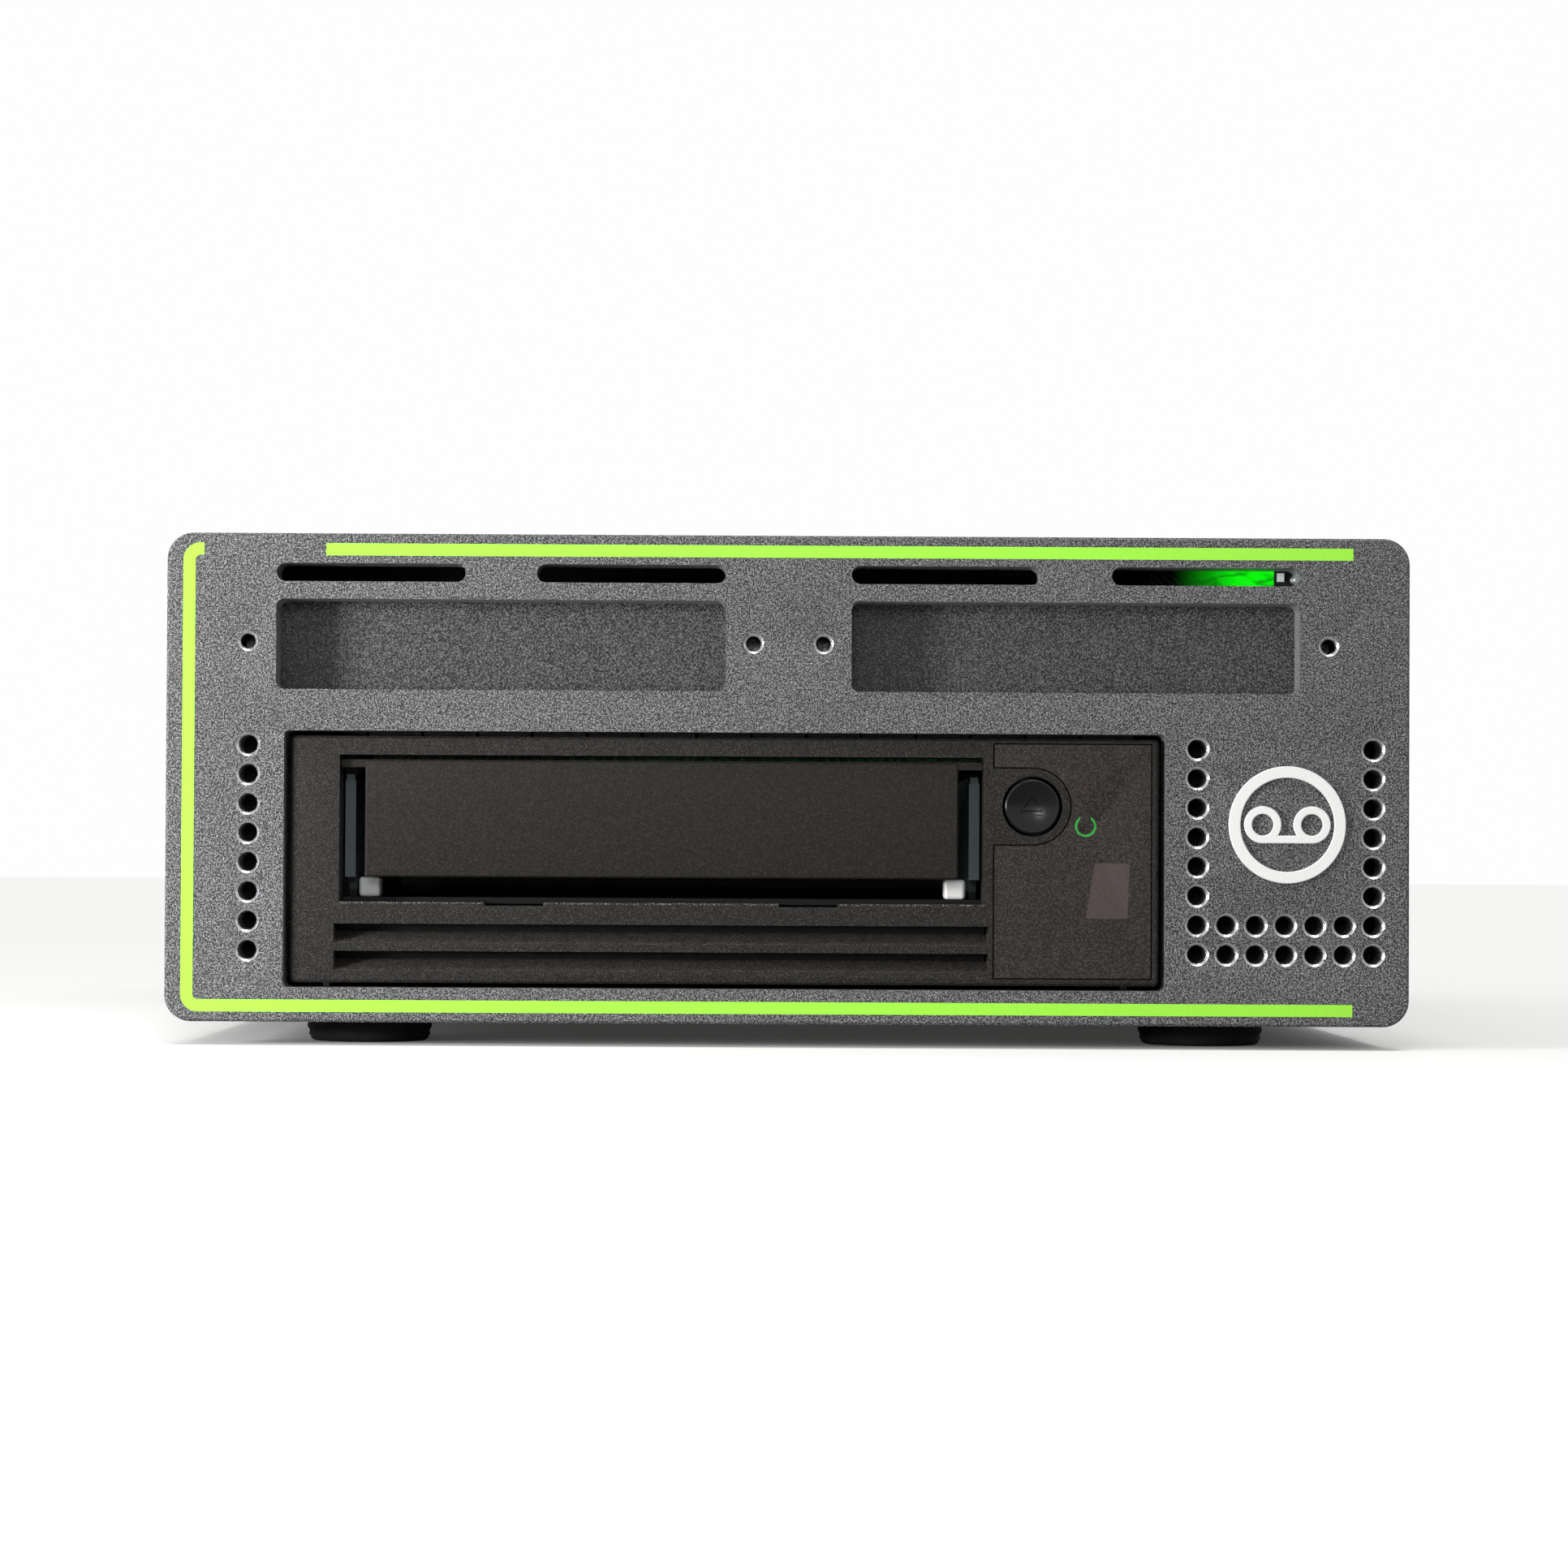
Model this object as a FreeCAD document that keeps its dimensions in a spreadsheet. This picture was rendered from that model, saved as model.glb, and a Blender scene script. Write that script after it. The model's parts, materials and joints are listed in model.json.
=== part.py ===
import FreeCAD, Part
import math
import os

import Sketcher

# A data tape drive in a half-rack desktop case, in millimetres.
# X runs across the front panel, +Y to the rear, +Z up; z = 0 is the surface under the feet.

SIZES = {
    # case
    "case_depth": 312.0,          # front of the panel to the rearmost flange
    "panel_width": 212.0,
    "panel_height": 83.3,
    "panel_thick": 8.0,
    "panel_corner": 4.5,
    "panel_break": 0.4,           # chamfer round the front edges
    "panel_tap": 4.0,             # depth of the tapped holes in its back
    "panel_screw_in": 8.0,
    "panel_screw_rise": 1.9,      # above the openings' lower edges
    "foot_height": 5.5,
    "foot_diameter": 23.0,
    "foot_apart": 146.0,
    "foot_inset": 24.0,
    "foot_taper": 1.1,
    "foot_recess": 9.0,
    "panel_drop": 1.5,            # the panel reaches this far below and above the case
    "case_inset": 2.0,            # and this far past its sides
    "rear_proud": 2.5,            # sockets and screw heads behind the rear wall
    "sheet": 1.2,
    "sheet_bend": 2.0,
    "flange_height": 12.0,
    "case_gap": 0.2,
    "cover_screw_front": 48.0,
    "cover_screw_rear": 24.0,
    "wall_margin": 1.0,           # sheet wall clear of the panel's openings
    # vents, slots and bays of the front panel
    "vent_diameter": 3.2,
    "vent_mouth": 4.1,
    "vent_pitch": 5.0,
    "vent_low": 12.25,            # lowest row above the panel's lower edge
    "vent_gap": 5.35,             # drive opening to the first column on the right
    "vent_gap_left": 6.15,
    "vent_side": 6.0,             # least room right of the last column
    "bay_side": 18.65,            # bay to the panel's edge
    "bay_between": 21.5,
    "bay_height": 15.4,
    "bay_corner": 1.4,
    "bay_low": 56.7,
    "bay_screw_out": 4.8,         # past the bay's end
    "bay_screw_rise": 0.45,       # above the bay's middle
    "bay_screw_bore": 2.5,
    "bay_screw_mouth": 3.5,
    "slot_between": 12.1,         # between the two slots over a bay
    "slot_height": 3.1,
    "slot_level": 76.65,
    "light_length": 13.0,
    "light_lap": 1.4,
    # drive bezel
    "bezel_side": 21.2,           # panel's left edge to the bezel
    "bezel_height": 42.1,
    "bezel_depth": 8.0,
    "bezel_low": 6.7,
    "bezel_corner": 0.8,
    "bezel_recess": 1.5,
    "bezel_side_gap": 1.05,
    "bezel_top_gap": 0.85,
    "bezel_foot_gap": 0.8,
    "mouth_side": 8.3,            # rim of the bezel left of the mouth
    "mouth_gap": 2.3,             # mouth past each side of the cartridge
    "mouth_height": 25.1,
    "mouth_low": 13.8,            # above the bezel's lower edge
    "ledge_notch": 10.1,
    "ledge_apart": 50.3,
    "ledge_depth": 0.6,
    "grille_side": 0.85,          # past the mouth's ends
    "grille_opening": 3.35,
    "grille_lip": 1.3,
    "grille_low": 2.05,
    "grille_rise": 2.0,
    "grille_run": 5.0,
    # status window, button and lights
    "window_gap": 1.6,            # mouth to the window's pocket
    "window_width": 27.2,
    "window_height": 40.3,
    "window_side": 1.1,           # rim of the bezel right of the window
    "window_top": 0.7,
    "window_depth": 2.4,
    "window_recess": 0.2,
    "window_fit": 0.15,
    "tongue_radius": 6.5,
    "button_bore": 10.3,
    "button_gap": 0.4,
    "button_in": 21.6,            # button's centre from the bezel's right edge
    "button_level": 30.6,        # above the bezel's lower edge
    "button_dish": 0.7,
    "button_travel": 0.8,
    "button_flange": 12.0,
    "button_stem": 3.5,
    "light_port_width": 11.9,
    "light_port_height": 24.0,
    "light_port_low": 8.0,
    "light_port_side": 1.6,
    "ring_in": 12.5,
    "ring_level": 27.3,
    "ring_diameter": 3.65,
    "ring_wall": 0.38,
    "ring_depth": 0.5,
    "board_thick": 1.6,
    "board_stand": 3.5,
    "display_width": 8.0,
    "display_height": 11.0,
    "display_low": 11.3,
    "display_side": 2.0,
    "display_back": 1.6,
    "board_clear": 0.7,           # boards clear of the drive's deck and lid
    # cartridge door
    "door_side_gap": 4.25,
    "door_height": 20.0,
    "door_thick": 1.6,
    "door_top_gap": 0.8,
    "door_recess": 1.5,
    "axle_diameter": 1.3,
    "axle_fit": 0.05,
    "ear_gap": 0.2,
    "pin_reach": 1.2,
    # drive frame
    "drive_inset": 1.15,          # frame inside the bezel's ends
    "drive_height": 41.3,
    "drive_length": 200.0,
    "drive_floor": 2.0,
    "drive_lift": 0.5,            # drive frame above the bezel's lower edge
    "drive_wall": 1.2,
    "lid_thick": 1.0,
    "lid_screw_front": 48.0,
    "lid_screw_length": 7.0,
    "post_diameter": 6.0,
    "bracket_length": 100.0,
    "bracket_start": 60.0,
    "bracket_height": 26.0,
    "bracket_foot": 7.0,
    "bracket_screw_in": 12.0,
    "drive_screw_rise": 14.3,
    "connector_side": 24.0,
    "connector_width": 36.0,
    "connector_height": 7.0,
    "connector_depth": 8.0,
    "main_board_side": 9.0,
    "main_board_gap": 9.8,        # behind the open door
    "main_board_length": 80.0,
    "chip_size": 15.0,
    # cartridge and its loader
    "cartridge_width": 105.4,
    "cartridge_depth": 102.0,
    "cartridge_level": 14.6,      # tray's floor above the bezel's lower edge
    "tray_floor": 1.2,
    "tray_wall": 1.5,
    "tray_wall_height": 21.2,
    "tray_side_gap": 0.4,
    "tray_start": 10.0,           # behind the front of the panel
    "tray_lip": 7.0,
    "tray_travel": 12.0,
    "slide_gap": 0.15,
    "rail_width": 3.0,
    "shoe_height": 3.6,
    "shoe_length": 6.0,
    "hub_diameter": 38.0,
    "hub_height": 4.1,
    "hub_tooth": 0.9,
    "hub_tooth_width": 1.5,
    "hub_clear": 0.4,             # tooth tips below the tray
    "hub_window": 44.0,
    "hub_back": 66.0,             # cartridge hub behind the front of the panel
    # tape path
    "shaft_diameter": 4.0,
    "motor_diameter": 42.0,
    "motor_height": 4.0,
    "reel_offset": 9.7,           # take-up reel right of the mouth's centre
    "reel_back": 164.0,
    "reel_diameter": 72.0,
    "reel_hub": 44.0,
    "reel_flange": 1.2,
    "tape_width": 12.7,
    "reel_slack": 0.3,
    "path_level": 10.1,           # reel's underside above the drive's floor
    "roller_diameter": 8.0,
    "roller_flange": 10.0,
    "roller_pin": 3.0,
    "roller_length": 15.0,
    "head_side": 11.95,           # head's middle to the drive's right side
    "head_back": 140.0,
    "near_roller_in": 3.0,
    "near_roller_out": 12.0,
    "far_roller_in": 10.0,
    "far_roller_out": 22.0,
    "head_width": 12.0,
    "head_length": 11.0,
    "head_height": 20.0,
    "head_travel": 3.0,
    "head_base": 3.0,
    "head_post": 2.5,
    "arm_side": 7.95,             # threader's pivot to the drive's right side
    "arm_back": 185.0,
    "arm_length": 60.0,
    "arm_width": 7.0,
    "arm_thick": 2.0,
    "arm_pin": 5.0,
    "arm_angle": -113.6,          # degrees from +X, parked over the cartridge's corner
    "arm_level": 33.8,            # above the drive's floor
    # fasteners
    "screw_diameter": 3.0,
    "screw_head": 5.5,
    "screw_head_height": 1.8,
    "screw_gap": 0.1,
    "small_screw": 2.5,
    "small_head": 4.4,
    "small_head_height": 1.4,
    # electronics and rear wall
    "deck_length": 100.0,
    "deck_level": 52.0,           # above the panel's lower edge
    "deck_foot": 7.5,
    "deck_screw_front": 24.0,
    "deck_screw_back": 12.0,
    "blank_lap": 3.7,             # past the bay's ends
    "blank_screw_in": 8.4,
    "blank_height": 20.0,
    "blank_foot": 10.0,
    "supply_height": 37.0,
    "supply_side": 6.0,           # to the case's side
    "supply_gap": 1.0,            # to the interface board
    "supply_clear": 8.5,          # to the drive's back
    "supply_rear": 26.3,          # to the rear wall
    "supply_screw_in": 9.6,
    "supply_screw_length": 7.0,
    "supply_slot_in": 12.0,
    "inlet_side": 28.0,           # inlet and switch from the supply's side
    "inlet_level": 30.0,
    "inlet_width": 31.0,
    "inlet_height": 24.0,
    "inlet_lip": 1.9,
    "inlet_depth": 20.0,
    "socket_width": 24.6,
    "socket_height": 16.6,
    "socket_depth": 15.0,
    "pin_width": 2.0,
    "pin_height": 4.0,
    "pin_apart": 14.0,
    "switch_level": 62.0,
    "switch_width": 21.0,
    "switch_height": 15.0,
    "switch_lip": 1.0,
    "switch_depth": 18.0,
    "rocker_width": 15.6,
    "rocker_height": 9.2,
    "rocker_gap": 0.4,
    "rocker_tilt": 8.0,           # degrees either side of level
    "fan_size": 60.0,
    "fan_depth": 15.0,
    "fan_bore": 57.0,
    "fan_hub": 25.0,
    "fan_sweep": 54.0,
    "fan_strut": 1.5,
    "fan_side": 12.0,             # to the case's side
    "fan_level": 45.5,
    "fan_screw_apart": 50.0,
    "grille_slot": 3.8,
    "grille_pitch": 6.2,
    "board_width": 48.0,
    "board_length": 62.0,
    "board_gap": 1.0,             # to the fan's side
    "board_screw_in": 3.0,
    "board_screw_back": 15.5,
    "standoff_diameter": 5.4,
    "board_level": 5.3,
    "port_width": 9.2,
    "port_height": 3.4,
    "port_depth": 7.4,
    "port_apart": 16.0,
    "sink_size": 30.0,
    "sink_height": 9.0,
    "sink_base": 1.8,
    "sink_front": 10.7,
    "fin_pitch": 4.0,
    "fin_thick": 1.2,
}

VENT_ROWS = 8
VENT_FULL_ROWS = 2                # the lowest rows run the whole way across
HUB_TEETH = 16
FAN_BLADES = 7
SINK_FINS = 7
FAN_SLOTS = 9
MAIN_CHIPS = 3

doc = FreeCAD.newDocument("tape_drive")
sheet = doc.addObject("Spreadsheet::Sheet", "Sizes")
for row, (alias, amount) in enumerate(SIZES.items(), start=1):
    sheet.set("A%d" % row, alias.replace("_", " "))
    sheet.set("B%d" % row, str(amount))
    sheet.setAlias("B%d" % row, alias)
doc.recompute()


class Dim:
    """A size known both as a number and as the sheet formula that gives it."""

    def __init__(self, formula, value):
        self.formula = formula
        self.value = value

    def __add__(self, other):
        other = dim(other)
        return Dim("(%s + %s)" % (self.formula, other.formula), self.value + other.value)

    def __radd__(self, other):
        return dim(other) + self

    def __sub__(self, other):
        other = dim(other)
        return Dim("(%s - %s)" % (self.formula, other.formula), self.value - other.value)

    def __rsub__(self, other):
        return dim(other) - self

    def __mul__(self, other):
        other = dim(other)
        return Dim("(%s * %s)" % (self.formula, other.formula), self.value * other.value)

    def __rmul__(self, other):
        return dim(other) * self

    def __truediv__(self, other):
        other = dim(other)
        return Dim("(%s / %s)" % (self.formula, other.formula), self.value / other.value)

    def __neg__(self):
        return Dim("(0 - %s)" % self.formula, -self.value)


def dim(length):
    """A plain number as a Dim; a Dim stays as it is."""
    if isinstance(length, Dim):
        return length
    return Dim("%.6f" % length, float(length))


class Sizes:
    """Reads a size from the sheet by its alias."""

    def __getattr__(self, alias):
        return Dim("Sizes." + alias, float(sheet.get(alias)))


size = Sizes()


def bind(item, field, length):
    """Ties one property of an object to the sheet."""
    item.setExpression(field, dim(length).formula)


def move(item, place):
    """Ties an object's position to the sheet."""
    for letter, length in zip("xyz", place):
        bind(item, "Placement.Base." + letter, length)


# ---- sketches and bodies ------------------------------------------------------------------

PLANES = {"XY": 1, "XZ": -1, "YZ": 1}    # which way each origin plane's normal runs on its axis


class Drawing:
    """A sketch on an origin plane of its body, with every point tied to the sheet."""

    def __init__(self, body, plane, level):
        self.plane = plane
        self.sketch = body.newObject("Sketcher::SketchObject", "sketch")
        base = [face for face in body.Origin.OriginFeatures if face.Role == plane + "_Plane"]
        self.sketch.AttachmentSupport = (base[0], "")
        self.sketch.MapMode = "FlatFace"
        bind(self.sketch, "AttachmentOffset.Base.z", dim(level) * PLANES[plane])

    def tie(self, kind, element, point, length):
        """Fixes a point's distance from the sketch's origin."""
        length = dim(length)
        index = self.sketch.addConstraint(
            Sketcher.Constraint(kind, -1, 1, element, point, length.value))
        self.sketch.setExpression("Constraints[%d]" % index, length.formula)

    def tie_radius(self, element, radius):
        radius = dim(radius)
        index = self.sketch.addConstraint(Sketcher.Constraint("Radius", element, radius.value))
        self.sketch.setExpression("Constraints[%d]" % index, radius.formula)

    def line(self, start, end):
        ends = [FreeCAD.Vector(dim(across).value, dim(up).value, 0) for across, up in (start, end)]
        return self.sketch.addGeometry(Part.LineSegment(ends[0], ends[1]), False)

    def arc(self, centre, radius, start, end):
        """An arc between two angles in degrees, anticlockwise."""
        middle = FreeCAD.Vector(dim(centre[0]).value, dim(centre[1]).value, 0)
        circle = Part.Circle(middle, FreeCAD.Vector(0, 0, 1), dim(radius).value)
        curve = Part.ArcOfCircle(circle, math.radians(start), math.radians(end))
        return self.sketch.addGeometry(curve, False)

    def polygon(self, points):
        count = len(points)
        lines = [self.line(points[i], points[(i + 1) % count]) for i in range(count)]
        for i in range(count):
            self.sketch.addConstraint(
                Sketcher.Constraint("Coincident", lines[i], 2, lines[(i + 1) % count], 1))
        for line, (across, up) in zip(lines, points):
            self.tie("DistanceX", line, 1, across)
            self.tie("DistanceY", line, 1, up)
        return self

    def rectangle(self, low, high):
        return self.polygon([low, (high[0], low[1]), high, (low[0], high[1])])

    def chain(self, lines, arcs):
        """Joins lines and the arcs that follow them into one loop, each pair tangent."""
        count = len(lines)
        for i in range(count):
            self.sketch.addConstraint(
                Sketcher.Constraint("Tangent", lines[i], 2, arcs[i], 1))
            self.sketch.addConstraint(
                Sketcher.Constraint("Tangent", arcs[i], 2, lines[(i + 1) % count], 1))

    def rounded(self, low, high, radius):
        """A rectangle with round corners."""
        (left, bottom), (right, top) = low, high
        r = dim(radius)
        lines = [self.line((left + r, bottom), (right - r, bottom)),
                 self.line((right, bottom + r), (right, top - r)),
                 self.line((right - r, top), (left + r, top)),
                 self.line((left, top - r), (left, bottom + r))]
        arcs = [self.arc((right - r, bottom + r), r, 270, 360),
                self.arc((right - r, top - r), r, 0, 90),
                self.arc((left + r, top - r), r, 90, 180),
                self.arc((left + r, bottom + r), r, 180, 270)]
        self.chain(lines, arcs)
        for line, kind in zip(lines, ("Horizontal", "Vertical", "Horizontal", "Vertical")):
            self.sketch.addConstraint(Sketcher.Constraint(kind, line))
        for arc in arcs[1:]:
            self.sketch.addConstraint(Sketcher.Constraint("Equal", arcs[0], arc))
        self.tie_radius(arcs[0], r)
        self.tie("DistanceY", lines[0], 1, bottom)
        self.tie("DistanceX", lines[1], 1, right)
        self.tie("DistanceY", lines[2], 1, top)
        self.tie("DistanceX", lines[3], 1, left)
        return self

    def slot(self, low, high, across):
        """A slot with round ends, from one corner of its box to the other."""
        (left, bottom), (right, top) = low, high
        if across:
            r = (top - bottom) / 2
            lines = [self.line((left + r, bottom), (right - r, bottom)),
                     self.line((right - r, top), (left + r, top))]
            arcs = [self.arc((right - r, bottom + r), r, 270, 450),
                    self.arc((left + r, bottom + r), r, 90, 270)]
            self.tie("DistanceX", arcs[0], 3, right - r)
            self.tie("DistanceX", arcs[1], 3, left + r)
            self.tie("DistanceY", arcs[0], 3, bottom + r)
            kind = "Horizontal"
        else:
            r = (right - left) / 2
            lines = [self.line((right, bottom + r), (right, top - r)),
                     self.line((left, top - r), (left, bottom + r))]
            arcs = [self.arc((left + r, top - r), r, 0, 180),
                    self.arc((left + r, bottom + r), r, 180, 360)]
            self.tie("DistanceY", arcs[0], 3, top - r)
            self.tie("DistanceY", arcs[1], 3, bottom + r)
            self.tie("DistanceX", arcs[0], 3, left + r)
            kind = "Vertical"
        self.chain(lines, arcs)
        self.sketch.addConstraint(Sketcher.Constraint(kind, lines[0]))
        self.tie_radius(arcs[0], r)
        return self

    def tongue(self, low, high):
        """A rectangle whose right end is a half circle."""
        (left, bottom), (right, top) = low, high
        r = (top - bottom) / 2
        lines = [self.line((left, top), (left, bottom)),
                 self.line((left, bottom), (right - r, bottom)),
                 self.line((right - r, top), (left, top))]
        arc = self.arc((right - r, bottom + r), r, 270, 450)
        joint = self.sketch.addConstraint
        joint(Sketcher.Constraint("Coincident", lines[0], 2, lines[1], 1))
        joint(Sketcher.Constraint("Coincident", lines[2], 2, lines[0], 1))
        joint(Sketcher.Constraint("Tangent", lines[1], 2, arc, 1))
        joint(Sketcher.Constraint("Tangent", arc, 2, lines[2], 1))
        joint(Sketcher.Constraint("Vertical", lines[0]))
        joint(Sketcher.Constraint("Horizontal", lines[1]))
        self.tie("DistanceX", lines[0], 1, left)
        self.tie("DistanceX", arc, 3, right - r)
        self.tie("DistanceY", arc, 3, bottom + r)
        self.tie_radius(arc, r)
        return self

    def circle(self, centre, diameter):
        middle = FreeCAD.Vector(dim(centre[0]).value, dim(centre[1]).value, 0)
        radius = dim(diameter) / 2
        ring = Part.Circle(middle, FreeCAD.Vector(0, 0, 1), radius.value)
        element = self.sketch.addGeometry(ring, False)
        self.tie("DistanceX", element, 3, centre[0])
        self.tie("DistanceY", element, 3, centre[1])
        self.tie_radius(element, radius)
        return self


class Piece:
    """A PartDesign body built from drawings; lengths run along the plane's own axis."""

    def __init__(self, label):
        self.body = doc.addObject("PartDesign::Body", label)

    def draw(self, plane, level=0.0):
        return Drawing(self.body, plane, level)

    def feature(self, kind, drawing, length):
        item = self.body.newObject("PartDesign::" + kind, kind.lower())
        item.Profile = drawing.sketch
        bind(item, "Length", length)
        return item

    def pad(self, drawing, length):
        item = self.feature("Pad", drawing, length)
        item.Reversed = PLANES[drawing.plane] < 0
        return item

    def pocket(self, drawing, length):
        item = self.feature("Pocket", drawing, length)
        item.Reversed = PLANES[drawing.plane] > 0
        return item

    def holes(self, drawing, bore, mouth):
        """Through holes with a countersunk mouth, at every circle of the drawing."""
        doc.recompute()
        item = self.body.newObject("PartDesign::Hole", "hole")
        item.Profile = drawing.sketch
        doc.recompute()
        item.DepthType = "ThroughAll"
        bind(item, "Diameter", bore)
        item.HoleCutType = "Countersink"
        item.HoleCutCustomValues = True
        bind(item, "HoleCutDiameter", mouth)
        item.HoleCutCountersinkAngle = 90
        return item

    def loft(self, first, second):
        item = self.body.newObject("PartDesign::AdditiveLoft", "loft")
        item.Profile = first.sketch
        item.Sections = [second.sketch]
        item.Ruled = True
        return item

    def turn(self, original, role, copies):
        """Copies a feature evenly round one of the body's axes."""
        item = self.body.newObject("PartDesign::PolarPattern", "pattern")
        item.Originals = [original]
        axis = [line for line in self.body.Origin.OriginFeatures if line.Role == role]
        item.Axis = (axis[0], [""])
        item.Angle = 360
        item.Occurrences = copies
        self.body.Tip = item
        return item

    def row(self, original, role, step, copies):
        """Copies a feature along one of the body's axes."""
        item = self.body.newObject("PartDesign::LinearPattern", "pattern")
        item.Originals = [original]
        axis = [line for line in self.body.Origin.OriginFeatures if line.Role == role]
        item.Direction = (axis[0], [""])
        bind(item, "Length", dim(step) * (copies - 1))
        item.Occurrences = copies
        self.body.Tip = item
        return item

    def dress(self, kind, amount, wanted):
        """A fillet or chamfer on the edges that the test picks from their boxes."""
        doc.recompute()
        base = self.body.Tip
        names = ["Edge%d" % (i + 1) for i, edge in enumerate(base.Shape.Edges)
                 if wanted(edge.BoundBox, edge)]
        item = self.body.newObject("PartDesign::" + kind, kind.lower())
        item.Base = (base, names)
        bind(item, "Radius" if kind == "Fillet" else "Size", amount)
        return item


# ---- primitives ---------------------------------------------------------------------------

TURNS = {"X": FreeCAD.Rotation(FreeCAD.Vector(0, 1, 0), 90),
         "Y": FreeCAD.Rotation(FreeCAD.Vector(1, 0, 0), -90),
         "Z": FreeCAD.Rotation()}


def block(name, low, high):
    """A box between two corners."""
    item = doc.addObject("Part::Box", name)
    for field, start, end in zip(("Length", "Width", "Height"), low, high):
        bind(item, field, dim(end) - start)
    move(item, low)
    return item


def rod(name, axis, start, diameter, length):
    """A cylinder that runs from its start along the axis."""
    item = doc.addObject("Part::Cylinder", name)
    item.Placement = FreeCAD.Placement(FreeCAD.Vector(), TURNS[axis])
    bind(item, "Radius", dim(diameter) / 2)
    bind(item, "Height", length)
    move(item, start)
    return item


def join(name, *items):
    item = doc.addObject("Part::MultiFuse", name)
    item.Shapes = list(items)
    return item


def group(name, items):
    """Separate solids in one node."""
    item = doc.addObject("Part::Compound", name)
    item.Links = list(items)
    return item


def cut(name, base, tools):
    item = doc.addObject("Part::Cut", name)
    item.Base = base
    item.Tool = tools[0] if len(tools) == 1 else group(name + "_tools", tools)
    return item


def along(axis, place, distance):
    """The point that lies a distance further along an axis."""
    step = {"X": (1, 0, 0), "Y": (0, 1, 0), "Z": (0, 0, 1)}[axis]
    return tuple(dim(start) + distance * part if part else dim(start)
                 for start, part in zip(place, step))


def screws(name, axis, places, sign, length, small=False):
    """Screws whose heads stand on a seat; sign says which way the heads point."""
    shank = size.small_screw if small else size.screw_diameter
    head = size.small_head if small else size.screw_head
    height = size.small_head_height if small else size.screw_head_height
    items = []
    for place in places:
        head_start = place if sign > 0 else along(axis, place, -height)
        shank_start = along(axis, place, -dim(length)) if sign > 0 else place
        items.append(join(name + "_one",
                          rod(name + "_head", axis, head_start, head, height),
                          rod(name + "_shank", axis, shank_start, shank, length)))
    return group(name, items)


def bores(name, axis, places, shank, reach):
    """Clearance holes for screws, cut both ways from each seat."""
    return [rod(name, axis, along(axis, place, -dim(reach)), shank + size.screw_gap * 2,
                dim(reach) * 2) for place in places]


# ---- places shared by the pieces ------------------------------------------------------------

front = -size.case_depth / 2
panel_back = front + size.panel_thick
wall_back = panel_back + size.sheet
rear = size.case_depth / 2 - size.rear_proud
rear_inside = rear - size.sheet

panel_side = size.panel_width / 2
panel_low = size.foot_height - size.panel_drop
panel_top = panel_low + size.panel_height
case_low = size.foot_height
case_top = panel_top - size.panel_drop
case_side = panel_side - size.case_inset
cover_inside = case_side - size.sheet
tray_side = cover_inside - size.case_gap
flange_inside = tray_side - size.sheet
floor = case_low + size.sheet
ceiling = case_top - size.sheet

bezel_front = front + size.bezel_recess
bezel_back = bezel_front + size.bezel_depth
bezel_left = size.bezel_side - panel_side
mouth_width = size.cartridge_width + size.mouth_gap * 2
mouth_left = bezel_left + size.mouth_side
mouth_right = mouth_left + mouth_width
mouth = mouth_left + mouth_width / 2
window_left = mouth_right + size.window_gap
window_right = window_left + size.window_width
bezel_right = window_right + size.window_side
bezel_low = panel_low + size.bezel_low
bezel_top = bezel_low + size.bezel_height
opening_left = bezel_left - size.bezel_side_gap
opening_right = bezel_right + size.bezel_side_gap
opening_low = bezel_low - size.bezel_foot_gap
opening_top = bezel_top + size.bezel_top_gap

mouth_low = bezel_low + size.mouth_low
mouth_top = mouth_low + size.mouth_height
door_top = mouth_top - size.door_top_gap
door_front = bezel_front + size.door_recess
door_axis = (mouth, door_front + size.door_thick / 2, door_top - size.axle_diameter / 2)

window_top = bezel_top - size.window_top
window_low = window_top - size.window_height
window_floor = bezel_front + size.window_depth
button_x = bezel_right - size.button_in
button_z = bezel_low + size.button_level
port_right = window_right - size.light_port_side
port_left = port_right - size.light_port_width
port_low = window_low + size.light_port_low
ring_x = bezel_right - size.ring_in
ring_z = bezel_low + size.ring_level

drive_front = bezel_back
drive_back = drive_front + size.drive_length
drive_left = bezel_left + size.drive_inset
drive_right = bezel_right - size.drive_inset
drive_low = bezel_low + size.drive_lift
drive_top = drive_low + size.drive_height
lid_low = drive_top - size.lid_thick
drive_deck = drive_low + size.drive_floor

tray_top = bezel_low + size.cartridge_level
tray_low = tray_top - size.tray_floor
tray_front = front + size.tray_start
tray_back = tray_front + size.cartridge_depth
tray_inside = size.cartridge_width / 2 + size.tray_side_gap
tray_outside = tray_inside + size.tray_wall
shoe_outside = tray_outside + size.tray_side_gap + size.slide_gap
hub_place = (mouth, front + size.hub_back)
reel_place = (mouth + size.reel_offset, front + size.reel_back)
path_low = drive_deck + size.path_level
head_place = (drive_right - size.head_side, front + size.head_back)
arm_place = (drive_right - size.arm_side, front + size.arm_back)
arm_low = drive_deck + size.arm_level
roller_places = [(head_place[0] - inward, head_place[1] + outward)
                 for inward, outward in ((size.far_roller_in, -size.far_roller_out),
                                         (size.near_roller_in, -size.near_roller_out),
                                         (size.near_roller_in, size.near_roller_out),
                                         (size.far_roller_in, size.far_roller_out))]

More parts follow.
